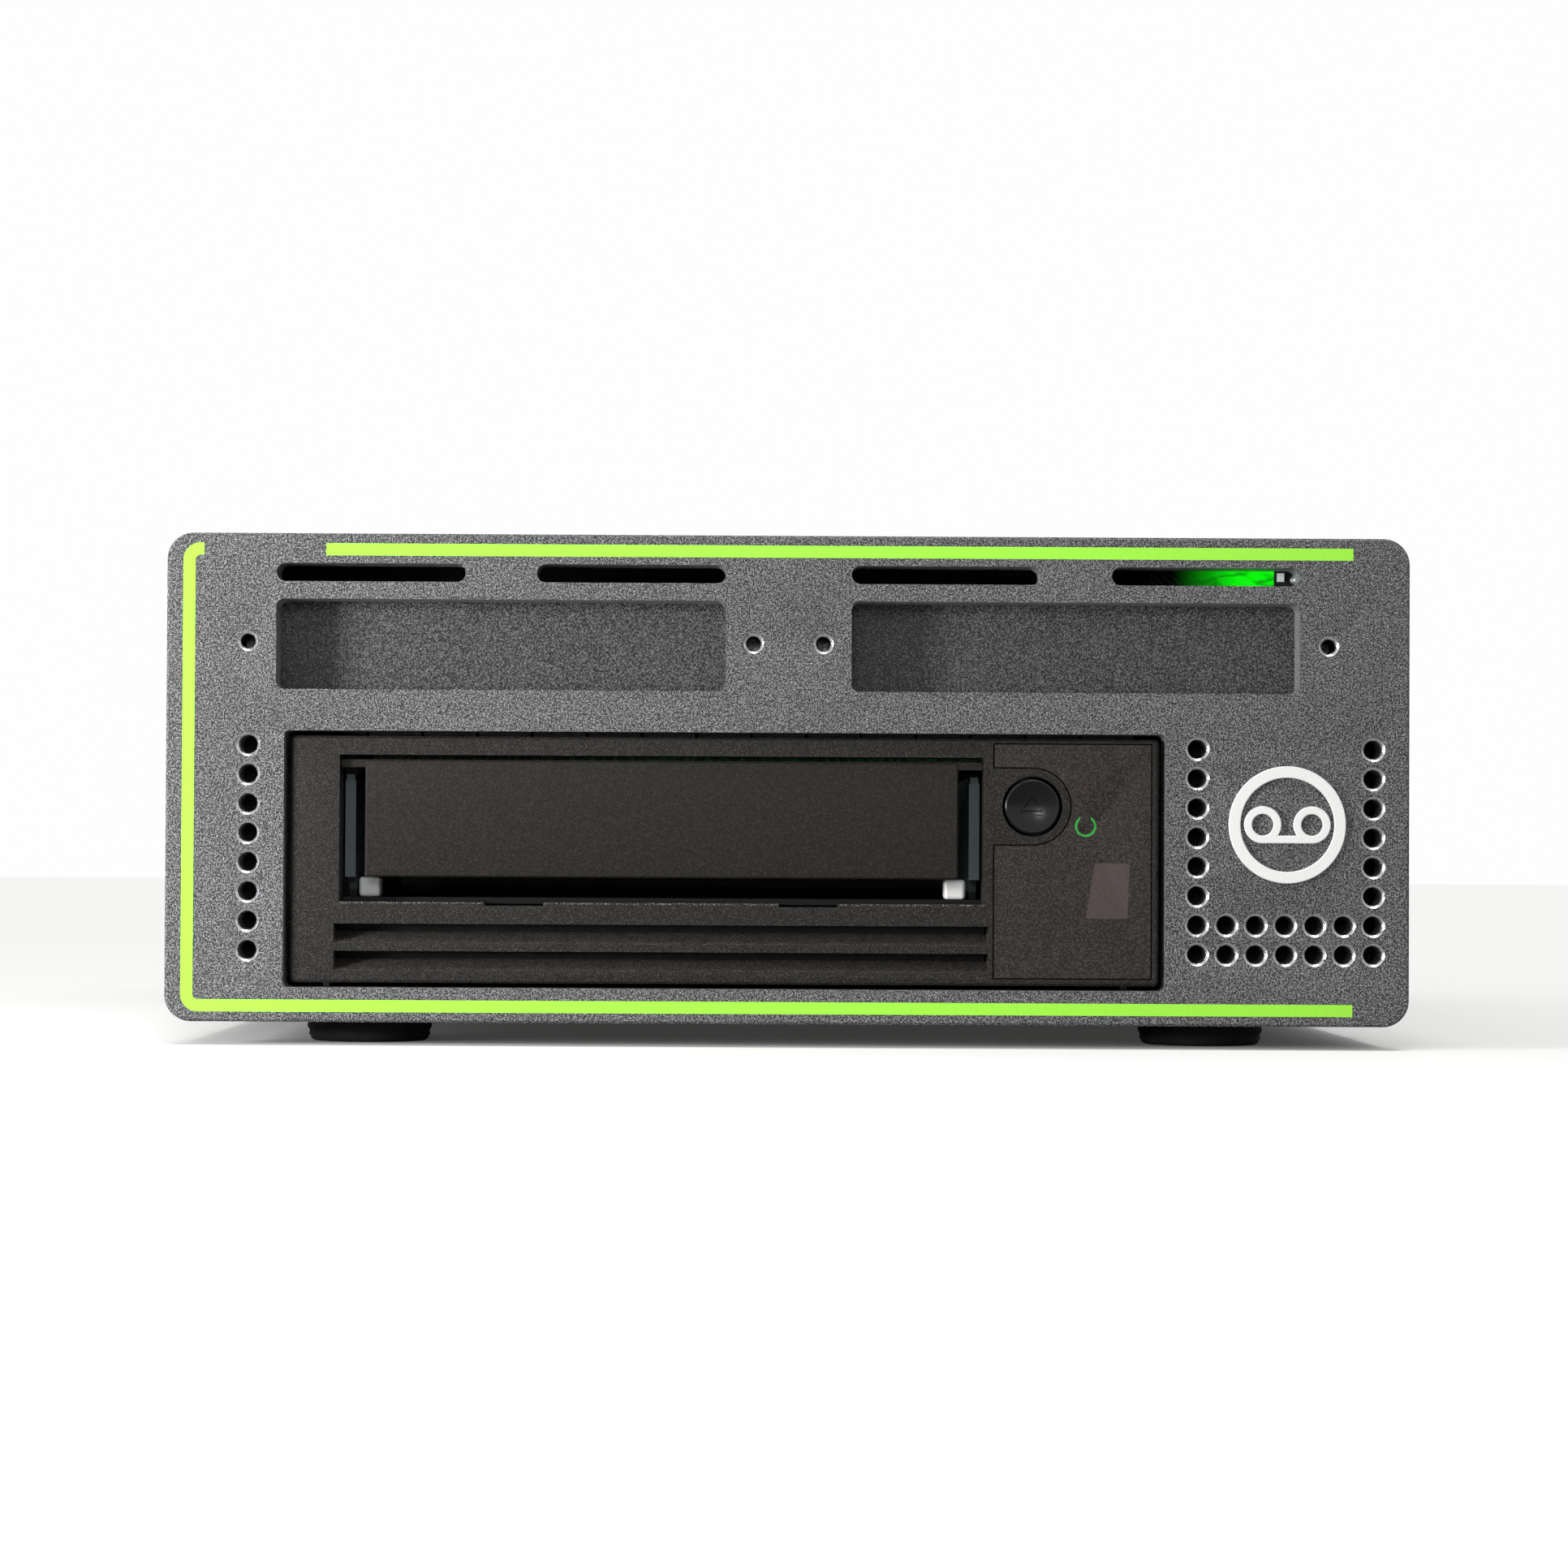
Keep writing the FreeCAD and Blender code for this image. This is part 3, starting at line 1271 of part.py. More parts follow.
def brackets():
    """Angle brackets that carry the drive by its sides, a little above the chassis floor."""
    nodes = []
    reach = size.sheet + size.bracket_foot
    top = floor + size.bracket_height
    for name, edge, away in (("drive_bracket_left", drive_left, -1),
                             ("drive_bracket_right", drive_right, 1)):
        piece = Piece(name + "_angle")
        points = [(edge, floor), (edge + away * reach, floor),
                  (edge + away * reach, floor + size.sheet),
                  (edge + away * size.sheet, floor + size.sheet),
                  (edge + away * size.sheet, top), (edge, top)]
        outline = piece.draw("XZ", bracket_front).polygon(points if away > 0 else points[::-1])
        piece.pad(outline, size.bracket_length)
        seats = [(edge, end, drive_screw_level) for end in drive_screw_rows]
        feet_seats = [place for place in bracket_screw_places
                      if (place[0].value - edge.value) * away > 0]
        drilled = (bores("bracket_side_bore", "X", seats, size.screw_diameter, size.sheet * 2)
                   + bores("bracket_foot_bore", "Z", feet_seats, size.screw_diameter,
                           size.sheet * 1.5))
        nodes.append(cut(name, piece.body, drilled))
    length = size.sheet + size.drive_wall + size.lid_thick
    left = [(drive_left - size.sheet, end, drive_screw_level) for end in drive_screw_rows]
    right = [(drive_right + size.sheet, end, drive_screw_level) for end in drive_screw_rows]
    nodes.append(group("drive_screws", [screws("drive_screws_left", "X", left, -1, length),
                                        screws("drive_screws_right", "X", right, 1, length)]))
    nodes.append(screws("bracket_screws", "Z", bracket_screw_places, 1, size.sheet * 2))
    nodes.append(screws("lid_screws", "Z", lid_screw_places, 1,
                        size.lid_screw_length - size.case_gap, small=True))
    return nodes


# ---- drive: loader and tape path ---------------------------------------------------------------

def loader_tray():
    """The sliding cartridge tray: floor, side walls, rear lip and a long window for the hub."""
    piece = Piece("loader_tray")
    plate = piece.draw("XY", tray_low).rectangle((mouth - shoe_outside, tray_front),
                                                 (mouth + shoe_outside, tray_back))
    piece.pad(plate, size.tray_floor)
    walls = piece.draw("XY", tray_top)
    for left in (mouth - tray_outside, mouth + tray_inside):
        walls.rectangle((left, tray_front), (left + size.tray_wall, tray_back))
    piece.pad(walls, size.tray_wall_height)
    lip = piece.draw("XY", tray_top).rectangle((mouth - tray_inside, tray_back - size.tray_wall),
                                               (mouth + tray_inside, tray_back))
    piece.pad(lip, size.tray_lip)
    corners = piece.draw("YZ", mouth - tray_outside).rectangle(
        (tray_front, tray_top), (tray_front + size.shoe_length, tray_top + size.shoe_height))
    piece.pocket(corners, tray_outside * 2)
    half = size.hub_window / 2
    window = piece.draw("XY", tray_low).slot(
        (mouth - half, hub_place[1] - size.tray_travel - half), (mouth + half, hub_place[1] + half),
        False)
    piece.pocket(window, size.tray_floor)
    return piece.body


def tray_shoes():
    """Nylon shoes in the front corners of the tray, each with a low tongue inwards."""
    items = []
    back = tray_front + size.shoe_length
    for side in (-1, 1):
        low, high = (tray_inside, shoe_outside) if side > 0 else (-shoe_outside, -tray_inside)
        body = block("shoe_body", (mouth + low, tray_front, tray_top),
                     (mouth + high, back, tray_top + size.shoe_height))
        inner = (tray_inside - size.shoe_height / 2, tray_inside)
        low, high = inner if side > 0 else (-inner[1], -inner[0])
        tongue = block("shoe_tongue", (mouth + low, tray_front, tray_top),
                       (mouth + high, back, tray_top + size.slide_gap))
        items.append(join("shoe", body, tongue))
    return group("tray_shoes", items)


def spindle(name, place, hub_low):
    """A flat motor with a shoulder under its hub and a shaft through it."""
    x, y = place
    can = rod(name + "_can", "Z", (x, y, drive_deck), size.motor_diameter, size.motor_height)
    shoulder_low = drive_deck + size.motor_height
    shoulder = rod(name + "_shoulder", "Z", (x, y, shoulder_low), size.shaft_diameter * 2,
                   hub_low - size.slide_gap - shoulder_low)
    shaft = rod(name + "_shaft", "Z", (x, y, shoulder_low), size.shaft_diameter,
                hub_low + size.hub_height - shoulder_low)
    return join(name, can, shoulder, shaft)


def drive_hub():
    """The toothed clutch disc that turns the cartridge's reel."""
    low = tray_low - size.hub_clear - size.hub_tooth - size.hub_height
    motor = spindle("reel_motor", hub_place, low)
    piece = Piece("drive_hub")
    ring = piece.draw("XY").circle((0.0, 0.0), size.hub_diameter)
    ring.circle((0.0, 0.0), size.shaft_diameter + size.axle_fit * 2)
    piece.pad(ring, size.hub_height)
    half = size.hub_tooth_width / 2
    tooth = piece.draw("XY", size.hub_height).polygon([
        (size.hub_diameter * 0.32, -half), (size.hub_diameter * 0.48, -half * 2),
        (size.hub_diameter * 0.48, half * 2), (size.hub_diameter * 0.32, half)])
    piece.turn(piece.pad(tooth, size.hub_tooth), "Z_Axis", HUB_TEETH)
    move(piece.body, (hub_place[0], hub_place[1], low))
    return [motor, piece.body]


def takeup_reel():
    """The take-up reel: a hub between two flanges, on its own motor."""
    motor = spindle("takeup_motor", reel_place, path_low)
    piece = Piece("takeup_reel")
    bore = size.shaft_diameter + size.axle_fit * 2
    height = size.tape_width + size.reel_slack
    for level, diameter, thick in ((0.0, size.reel_diameter, size.reel_flange),
                                   (size.reel_flange, size.reel_hub, height),
                                   (size.reel_flange + height, size.reel_diameter,
                                    size.reel_flange)):
        disc = piece.draw("XY", level).circle((0.0, 0.0), diameter)
        piece.pad(disc, thick)
    total = size.reel_flange * 2 + height
    hole = piece.draw("XY").circle((0.0, 0.0), bore)
    piece.pocket(hole, total)
    move(piece.body, (reel_place[0], reel_place[1], path_low))
    return [motor, piece.body]


def rollers():
    """Four flanged guide rollers on posts, two each side of the head."""
    posts = []
    nodes = []
    low = path_low + size.slide_gap
    for number, (x, y) in enumerate(roller_places, start=1):
        post = rod("roller_shoulder", "Z", (x, y, drive_deck), size.roller_pin * 2,
                   path_low - drive_deck)
        pin = rod("roller_pin", "Z", (x, y, path_low), size.roller_pin,
                  size.roller_length + size.slide_gap * 4)
        posts.append(join("roller_post", post, pin))
        rim = (size.roller_length - size.tape_width) / 2
        body = join("roller_solid", rod("roller_rim", "Z", (x, y, low), size.roller_flange, rim),
                    rod("roller_body", "Z", (x, y, low + rim), size.roller_diameter,
                        size.tape_width),
                    rod("roller_rim", "Z", (x, y, low + rim + size.tape_width),
                        size.roller_flange, rim))
        bore = rod("roller_bore", "Z", (x, y, low), size.roller_pin + size.axle_fit * 2,
                   size.roller_length)
        nodes.append(cut("guide_roller_%d" % number, body, [bore]))
    return [group("roller_posts", posts)] + nodes


def tape_head():
    """The head block, which rides up and down two posts of its base."""
    x, y = head_place
    level = path_low + size.reel_flange + size.tape_width / 2
    low = level - size.head_height / 2
    half = size.head_length / 2
    base_top = drive_deck + size.head_base
    post_x = x + size.head_width / 4
    posts = [(post_x, y + side * half / 2) for side in (-1, 1)]
    base = [block("head_base_plate", (x - size.head_width / 2, y - half, drive_deck),
                  (x + size.head_width / 2, y + half, base_top))]
    post = size.head_post
    for across, end in posts:
        base.append(rod("head_post", "Z", (across, end, base_top), post,
                        low + size.head_height + size.head_travel * 1.5 - base_top))
    body = block("head_solid", (x - size.head_width / 2, y - half, low),
                 (x + size.head_width / 2, y + half, low + size.head_height))
    drilled = [rod("head_bore", "Z", (across, end, low), post + size.axle_fit * 2,
                   size.head_height) for across, end in posts]
    return [join("head_actuator", *base), cut("head_block", body, drilled)]


def threader_arm():
    """The arm that draws the tape's end from the cartridge to the take-up reel."""
    x, y = arm_place
    post_low = rod("arm_shoulder", "Z", (x, y, drive_deck), size.arm_width,
                   arm_low - size.slide_gap - drive_deck)
    post_pin = rod("arm_pivot", "Z", (x, y, drive_deck), size.shaft_diameter,
                   arm_low + size.arm_thick * 1.5 - drive_deck)
    piece = Piece("threader_arm")
    half = size.arm_width / 2
    plate = piece.draw("XY").slot((-half, -half), (size.arm_length + half, half), True)
    piece.pad(plate, size.arm_thick)
    bore = piece.draw("XY").circle((0.0, 0.0), size.shaft_diameter + size.axle_fit * 2)
    piece.pocket(bore, size.arm_thick)
    grip = piece.draw("XY", -size.arm_pin).circle((size.arm_length, 0.0), size.roller_pin)
    piece.pad(grip, size.arm_pin)
    piece.body.Placement = FreeCAD.Placement(
        FreeCAD.Vector(), FreeCAD.Rotation(FreeCAD.Vector(0, 0, 1), size.arm_angle.value))
    move(piece.body, (x, y, arm_low))
    return [join("arm_post", post_low, post_pin), piece.body]


# ---- rear wall and electronics -----------------------------------------------------------------

def mains_inlet():
    """The mains inlet: a lip outside the wall, a body inside it, a socket and three blades."""
    x, z = inlet_x, size.inlet_level
    piece = Piece("inlet_socket")
    wide, tall = size.inlet_width / 2, size.inlet_height / 2
    lip = piece.draw("XZ", rear).rounded((x - wide, z - tall), (x + wide, z + tall),
                                         size.sheet_bend)
    piece.pad(lip, size.rear_proud)
    wide = wide - size.inlet_lip
    tall = tall - size.inlet_lip
    body = piece.draw("XZ", rear - size.inlet_depth).rectangle((x - wide, z - tall),
                                                               (x + wide, z + tall))
    piece.pad(body, size.inlet_depth)
    floor_y = rear + size.rear_proud - size.socket_depth
    wide = size.socket_width / 2
    tall = size.socket_height / 2
    bevel = size.pin_height
    hollow = piece.draw("XZ", floor_y).polygon([
        (x - wide, z - tall), (x + wide, z - tall), (x + wide, z + tall - bevel),
        (x + wide - bevel, z + tall), (x - wide + bevel, z + tall), (x - wide, z + tall - bevel)])
    piece.pocket(hollow, size.socket_depth)
    blades = []
    for across, up in ((-1, -1), (0, 1), (1, -1)):
        middle = x + size.pin_apart / 2 * across
        level = z + (size.pin_height / 2 + size.case_gap) * up
        blades.append(block("inlet_blade",
                            (middle - size.pin_width / 2, floor_y, level - size.pin_height / 2),
                            (middle + size.pin_width / 2, rear + size.rear_proud - size.pin_width,
                             level + size.pin_height / 2)))
    return [piece.body, group("inlet_pins", blades)]


def power_switch():
    """A rocker switch: its housing snaps in the wall and the rocker turns on two pins."""
    x, z = inlet_x, size.switch_level
    piece = Piece("switch_housing")
    wide, tall = size.switch_width / 2, size.switch_height / 2
    lip = piece.draw("XZ", rear).rectangle((x - wide, z - tall), (x + wide, z + tall))
    piece.pad(lip, size.switch_lip)
    wide = wide - size.switch_lip
    tall = tall - size.switch_lip
    body = piece.draw("XZ", rear - size.switch_depth).rectangle((x - wide, z - tall),
                                                                (x + wide, z + tall))
    piece.pad(body, size.switch_depth)
    well_wide = size.rocker_width / 2 + size.rocker_gap
    well_tall = size.rocker_height / 2 + size.rocker_gap * 1.5
    well_depth = size.rocker_height
    well = piece.draw("XZ", rear + size.switch_lip - well_depth).rectangle(
        (x - well_wide, z - well_tall), (x + well_wide, z + well_tall))
    piece.pocket(well, well_depth)
    pivot_y = rear - size.switch_lip
    pin = size.pin_width
    reach = well_wide + size.rocker_gap * 1.5
    bore = piece.draw("YZ", x - reach).circle((pivot_y, z), pin + size.axle_fit * 2)
    piece.pocket(bore, reach * 2)
    rocker = Piece("rocker_switch")
    half = size.rocker_height / 2
    proud = size.rocker_height / 3
    profile = rocker.draw("YZ", -size.rocker_width / 2).polygon([
        (proud, -half), (proud * 0.4, 0.0), (proud, half), (-half / 3, half * 0.9),
        (-proud, 0.0), (-half / 3, -half * 0.9)])
    rocker.pad(profile, size.rocker_width)
    pins = rocker.draw("YZ", -reach + size.case_gap).circle((0.0, 0.0), pin)
    rocker.pad(pins, (reach - size.case_gap) * 2)
    rocker.body.Placement = FreeCAD.Placement(
        FreeCAD.Vector(), FreeCAD.Rotation(FreeCAD.Vector(1, 0, 0), -size.rocker_tilt.value))
    move(rocker.body, (x, pivot_y, z))
    return [piece.body, rocker.body]


def fan():
    """An axial fan behind its slots: square frame, spider with the motor, bladed rotor."""
    x, back, z = fan_place
    start = back - size.fan_depth
    half = size.fan_size / 2
    piece = Piece("fan_frame_moulding")
    square = piece.draw("XZ", start).rounded((x - half, z - half), (x + half, z + half),
                                             size.panel_corner)
    piece.pad(square, size.fan_depth)
    duct = piece.draw("XZ", start).circle((x, z), size.fan_bore)
    piece.pocket(duct, size.fan_depth)
    strut = size.fan_strut
    for low, high in (((x - size.fan_bore / 2 - strut, z - strut),
                       (x + size.fan_bore / 2 + strut, z + strut)),
                      ((x - strut, z - size.fan_bore / 2 - strut),
                       (x + strut, z + size.fan_bore / 2 + strut))):
        piece.pad(piece.draw("XZ", start).rectangle(low, high), strut)
    boss = piece.draw("XZ", start).circle((x, z), size.fan_hub)
    piece.pad(boss, strut * 1.5)
    bearing = size.roller_pin + size.axle_fit * 2
    piece.pocket(piece.draw("XZ", start).circle((x, z), bearing), strut * 1.5)
    depth = size.fan_depth * 0.6
    seats = [(px, back - depth, pz) for px, py, pz in fan_screw_places]
    drilled = [rod("fan_bore", "Y", seat, size.screw_diameter + size.screw_gap * 2, depth)
               for seat in seats]
    frame = cut("fan_frame", piece.body, drilled)
    hub_start = start + strut * 1.5 + size.rocker_gap
    hub_depth = back - strut - hub_start
    rotor = Piece("fan_rotor")
    hub = rotor.draw("XZ").circle((0.0, 0.0), size.fan_hub)
    rotor.pad(hub, hub_depth)
    shaft = rotor.draw("XZ", -(strut * 1.5 + size.rocker_gap)).circle((0.0, 0.0), size.roller_pin)
    rotor.pad(shaft, strut * 1.5 + size.rocker_gap)
    root, tip = [fan_section(rotor, radius, pitch, hub_depth)
                 for radius, pitch in ((size.fan_hub / 2 - strut, 48),
                                       (size.fan_sweep / 2, 30))]
    rotor.turn(rotor.loft(root, tip), "Y_Axis", FAN_BLADES)
    move(rotor.body, (x, hub_start, z))
    length = size.sheet + depth - size.case_gap
    return [frame, rotor.body, screws("fan_screws", "Y", fan_screw_places, 1, length)]


def fan_section(rotor, radius, pitch, depth):
    """One end of a blade: a thin parallelogram turned to its pitch, at a distance out."""
    rise = depth * 0.84
    run = rise / math.tan(math.radians(pitch))
    thick = size.fan_strut
    low = (depth - rise) / 2
    return rotor.draw("YZ", radius).polygon([
        (low, -run / 2), (low + rise, run / 2 - thick / 2), (low + rise, run / 2 + thick / 2),
        (low, -run / 2 + thick)])


def power_supply():
    """The cased supply, with air slots across its top."""
    piece = Piece("power_supply_case")
    box = piece.draw("XY", floor).rectangle((supply_left, supply_front),
                                            (supply_right, supply_back))
    piece.pad(box, size.supply_height)
    piece.dress("Chamfer", size.sheet,
                lambda box, edge: box.ZLength < 0.01 and box.ZMin > (floor + size.sheet).value)
    slot_left = supply_left + size.supply_slot_in
    slot = piece.draw("XY", floor + size.supply_height - size.sheet).rectangle(
        (slot_left, supply_front + size.supply_slot_in),
        (slot_left + size.grille_slot, supply_back - size.supply_slot_in))
    first = piece.pocket(slot, size.sheet)
    room = supply_right - size.supply_slot_in - size.grille_slot - slot_left
    piece.row(first, "X_Axis", size.grille_pitch,
              int(room.value / size.grille_pitch.value) + 1)
    bore_depth = size.supply_screw_length
    drilled = [rod("supply_bore", "Z", (px, py, floor), size.screw_diameter + size.screw_gap * 2,
                   bore_depth) for px, py, pz in supply_screw_places]
    length = size.sheet + bore_depth - size.case_gap
    return [cut("power_supply", piece.body, drilled),
            screws("supply_screws", "Z", supply_screw_places, -1, length)]


def bridge_board():
    """The interface board on four standoffs, with two data ports through the rear wall."""
    board_screw_bore = size.sheet * 2
    plate = block("bridge_board_plate", (circuit_left, circuit_front, circuit_low),
                  (circuit_right, circuit_back, circuit_low + size.board_thick))
    board = cut("bridge_board", plate,
                bores("board_bore", "Z", circuit_screw_places, size.small_screw, board_screw_bore))
    standoffs = []
    for x, y, z in circuit_screw_places:
        outer = rod("standoff_body", "Z", (x, y, floor), size.standoff_diameter,
                    circuit_low - floor)
        bore = rod("standoff_bore", "Z", (x, y, floor), size.small_screw + size.screw_gap * 2,
                   circuit_low - floor)
        standoffs.append(cut("standoff", outer, [bore]))
    ports = []
    top = circuit_low + size.board_thick
    for across in data_ports:
        piece = Piece("data_port")
        half = size.port_width / 2
        depth = size.port_depth
        start = rear - depth
        shell = piece.draw("XZ", start).slot((across - half, top),
                                             (across + half, top + size.port_height), True)
        piece.pad(shell, depth)
        wall = size.ring_wall
        hollow = piece.draw("XZ", start + size.sheet).slot(
            (across - half + wall, top + wall),
            (across + half - wall, top + size.port_height - wall), True)
        piece.pocket(hollow, depth - size.sheet)
        tongue = piece.draw("XZ", start + size.sheet).rectangle(
            (across - half * 0.7, top + size.port_height * 0.4),
            (across + half * 0.7, top + size.port_height * 0.6))
        piece.pad(tongue, depth - size.sheet * 2)
        ports.append(piece.body)
    length = size.board_thick + size.board_level - size.case_gap
    return [board, group("board_standoffs", standoffs), group("data_ports", ports),
            screws("board_screws", "Z", circuit_screw_places, 1, length, small=True)]


def heat_sink():
    """A finned aluminium block on the interface board's chip."""
    piece = Piece("heat_sink")
    start = circuit_front + size.sink_front
    low = circuit_low + size.board_thick
    left = circuit_middle - size.sink_size / 2
    base = piece.draw("XY", low).rectangle((left, start), (left + size.sink_size,
                                                           start + size.sink_size))
    piece.pad(base, size.sink_base)
    margin = (size.sink_size - size.fin_pitch * (SINK_FINS - 1) - size.fin_thick) / 2
    fin = piece.draw("XY", low + size.sheet).rectangle(
        (left + margin, start), (left + margin + size.fin_thick, start + size.sink_size))
    first = piece.pad(fin, size.sink_height - size.sheet)
    piece.row(first, "X_Axis", size.fin_pitch, SINK_FINS)
    return piece.body


# ---- build, check and write -----------------------------------------------------------------

nodes = [front_panel(), base_tray(), top_cover(), feet(), bay_deck(), activity_light(),
         drive_bezel(), eject_button(), cartridge_door(), drive_base(), drive_lid(),
         main_board(), rear_connector(), loader_tray(), tray_shoes(), heat_sink()]
for several in (case_screws, bay_blanks, status_window, front_board, brackets, drive_hub,
                takeup_reel, rollers, tape_head, threader_arm, mains_inlet, power_switch, fan,
                power_supply, bridge_board):
    nodes += several()
doc.recompute()

for item in doc.Objects:
    if "Invalid" in item.State or "Error" in item.State:
        raise RuntimeError("%s did not build: %s" % (item.Label, item.State))
    if item.isDerivedFrom("PartDesign::Pocket"):
        if item.Shape.Volume > item.BaseFeature.Shape.Volume - 1e-6:
            raise RuntimeError("%s cuts nothing" % item.Label)

os.makedirs("parts", exist_ok=True)
for node in nodes:
    if node.Shape.isNull() or not node.Shape.isValid():
        raise RuntimeError("%s has no valid shape" % node.Label)
    node.Shape.exportStep(os.path.join("parts", node.Label + ".step"))
print("%d nodes written" % len(nodes))
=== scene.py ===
import json
import math

import bmesh
import bpy
import numpy as np
from mathutils import Matrix, Vector


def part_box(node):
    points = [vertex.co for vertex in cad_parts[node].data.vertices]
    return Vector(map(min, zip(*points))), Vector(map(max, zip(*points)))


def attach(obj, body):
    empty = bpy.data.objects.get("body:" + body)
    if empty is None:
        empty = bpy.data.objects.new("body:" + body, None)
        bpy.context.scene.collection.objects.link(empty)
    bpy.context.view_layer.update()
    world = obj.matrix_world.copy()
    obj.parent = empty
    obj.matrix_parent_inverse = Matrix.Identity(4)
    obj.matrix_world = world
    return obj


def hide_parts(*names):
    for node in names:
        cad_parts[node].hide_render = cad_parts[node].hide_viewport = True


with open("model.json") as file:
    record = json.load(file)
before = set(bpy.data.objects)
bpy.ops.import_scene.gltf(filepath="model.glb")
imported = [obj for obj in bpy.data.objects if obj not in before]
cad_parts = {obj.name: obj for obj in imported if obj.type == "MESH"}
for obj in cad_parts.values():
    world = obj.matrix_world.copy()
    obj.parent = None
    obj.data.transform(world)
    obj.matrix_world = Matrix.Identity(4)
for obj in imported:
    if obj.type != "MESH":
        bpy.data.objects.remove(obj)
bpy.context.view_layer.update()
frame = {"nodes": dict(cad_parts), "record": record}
nodes = frame["nodes"]
mm = 0.001
print("frame loaded,", len(nodes), "nodes")


# shader helpers

def tone(red, green, blue, level=1.0):
    # screen colour, 0 to 255 times a level, as the linear colour that a shader wants
    share = np.array([red, green, blue]) * level / 255
    linear = np.where(share < 0.04045, share / 12.92, ((share + 0.055) / 1.055) ** 2.4)
    return (*linear.tolist(), 1.0)


class Value:
    # a number inside a material: arithmetic on it adds Math nodes
    def __init__(self, finish, socket):
        self.finish = finish
        self.socket = socket

    def maths(self, operation, *terms, clamp=False):
        made = self.finish.node("ShaderNodeMath", {"operation": operation, "use_clamp": clamp},
                                dict(enumerate(terms)))
        return Value(self.finish, made.outputs[0])

    def __add__(self, other):
        return self.maths("ADD", self, other)

    def __radd__(self, other):
        return self.maths("ADD", other, self)

    def __sub__(self, other):
        return self.maths("SUBTRACT", self, other)

    def __rsub__(self, other):
        return self.maths("SUBTRACT", other, self)

    def __mul__(self, other):
        return self.maths("MULTIPLY", self, other)

    def __rmul__(self, other):
        return self.maths("MULTIPLY", other, self)

    def __truediv__(self, other):
        return self.maths("DIVIDE", self, other)

    def __pow__(self, other):
        return self.maths("POWER", self, other)

    def rise(self, start, end):
        # 0 before start, 1 after end, straight between them
        return self.maths("MULTIPLY", self - start, 1 / (end - start), clamp=True)


class Finish:
    # a material and its nodes; every pattern is laid out on Object coordinates, in metres
    def __init__(self, name, colour, roughness, **sockets):
        self.material = bpy.data.materials.new(name)
        self.material.use_nodes = True
        self.tree = self.material.node_tree
        self.shader = self.tree.nodes["Principled BSDF"]
        self.place = self.node("ShaderNodeTexCoord").outputs["Object"]
        self.set("Base Color", colour)
        self.set("Roughness", roughness)
        for socket, amount in sockets.items():
            self.set(socket.replace("_", " "), amount)

    def node(self, kind, settings=None, sockets=None):
        made = self.tree.nodes.new(kind)
        # settings first, because some of them change which sockets there are
        for name, setting in (settings or {}).items():
            setattr(made, name, setting)
        for name, amount in (sockets or {}).items():
            self.join(amount, made.inputs[name])
        return made

    def join(self, amount, socket):
        amount = amount.socket if isinstance(amount, Value) else amount
        if isinstance(amount, bpy.types.NodeSocket):
            self.tree.links.new(amount, socket)
        else:
            socket.default_value = amount

    def set(self, name, amount):
        self.join(amount, self.shader.inputs[name])

    def axes(self):
        parts = self.node("ShaderNodeSeparateXYZ", None, {"Vector": self.place})
        return [Value(self, parts.outputs[axis]) for axis in "XYZ"]

    def inside(self, low, high, soft):
        # 1 between two corners in X, Y and Z, fading to 0 over the soft width outside them
        share = 1.0
        for along, start, end in zip(self.axes(), low, high):
            share = along.rise(start - soft, start) * (end - along).rise(-soft, 0) * share
        return share

    def stretched(self, x, y, z, turn=(0, 0, 0)):
        # the same coordinates, stretched or turned
        return self.node("ShaderNodeMapping", None, {"Vector": self.place, "Scale": (x, y, z),
                                                     "Rotation": turn}).outputs["Vector"]

    def noise(self, grain, detail=2.0, place=None, distortion=0.0):
        # soft noise, 0 to 1, whose blotches are about one grain across
        made = self.node("ShaderNodeTexNoise", None, {
            "Vector": place or self.place, "Scale": 1 / grain, "Detail": detail,
            "Distortion": distortion})
        return Value(self, made.outputs[0])

    def cells(self, grain, place=None, feature="F1"):
        # distance to the middle or the edge of cells about one grain across
        made = self.node("ShaderNodeTexVoronoi", {"feature": feature}, {
            "Vector": place or self.place, "Scale": 1 / grain})
        return Value(self, made.outputs["Distance"])

    def mix(self, share, first, second):
        # the first colour where share is 0, the second where it is 1
        made = self.node("ShaderNodeMix", {"data_type": "RGBA"}, {0: share, 6: first, 7: second})
        return made.outputs[2]

    def bump(self, height, depth):
        made = self.node("ShaderNodeBump", None, {"Height": height, "Distance": depth})
        self.set("Normal", made.outputs["Normal"])


# finishes, one function for each kind of surface

powderLook = {"grain": 0.34, "fleck": 0.22, "broad": 40.0, "chip": 0.9, "depth": 0.045,
              # edge is the painted shade that the face darkens to at its top and bottom rims
              "dark": (50, 50, 51), "light": (242, 242, 244), "edge": (30, 30, 31),
              "bare": (205, 206, 209),
              # start and end of each fade of the painted shade, in mm from the face's top, bottom and
              # front
              "top": (-3.0, 14.0), "bottom": (-2.0, 6.0), "behind": (0.5, 1.5),
              "rim": 2.2, "bevel": (0.04, 0.42), "soft": 0.02}


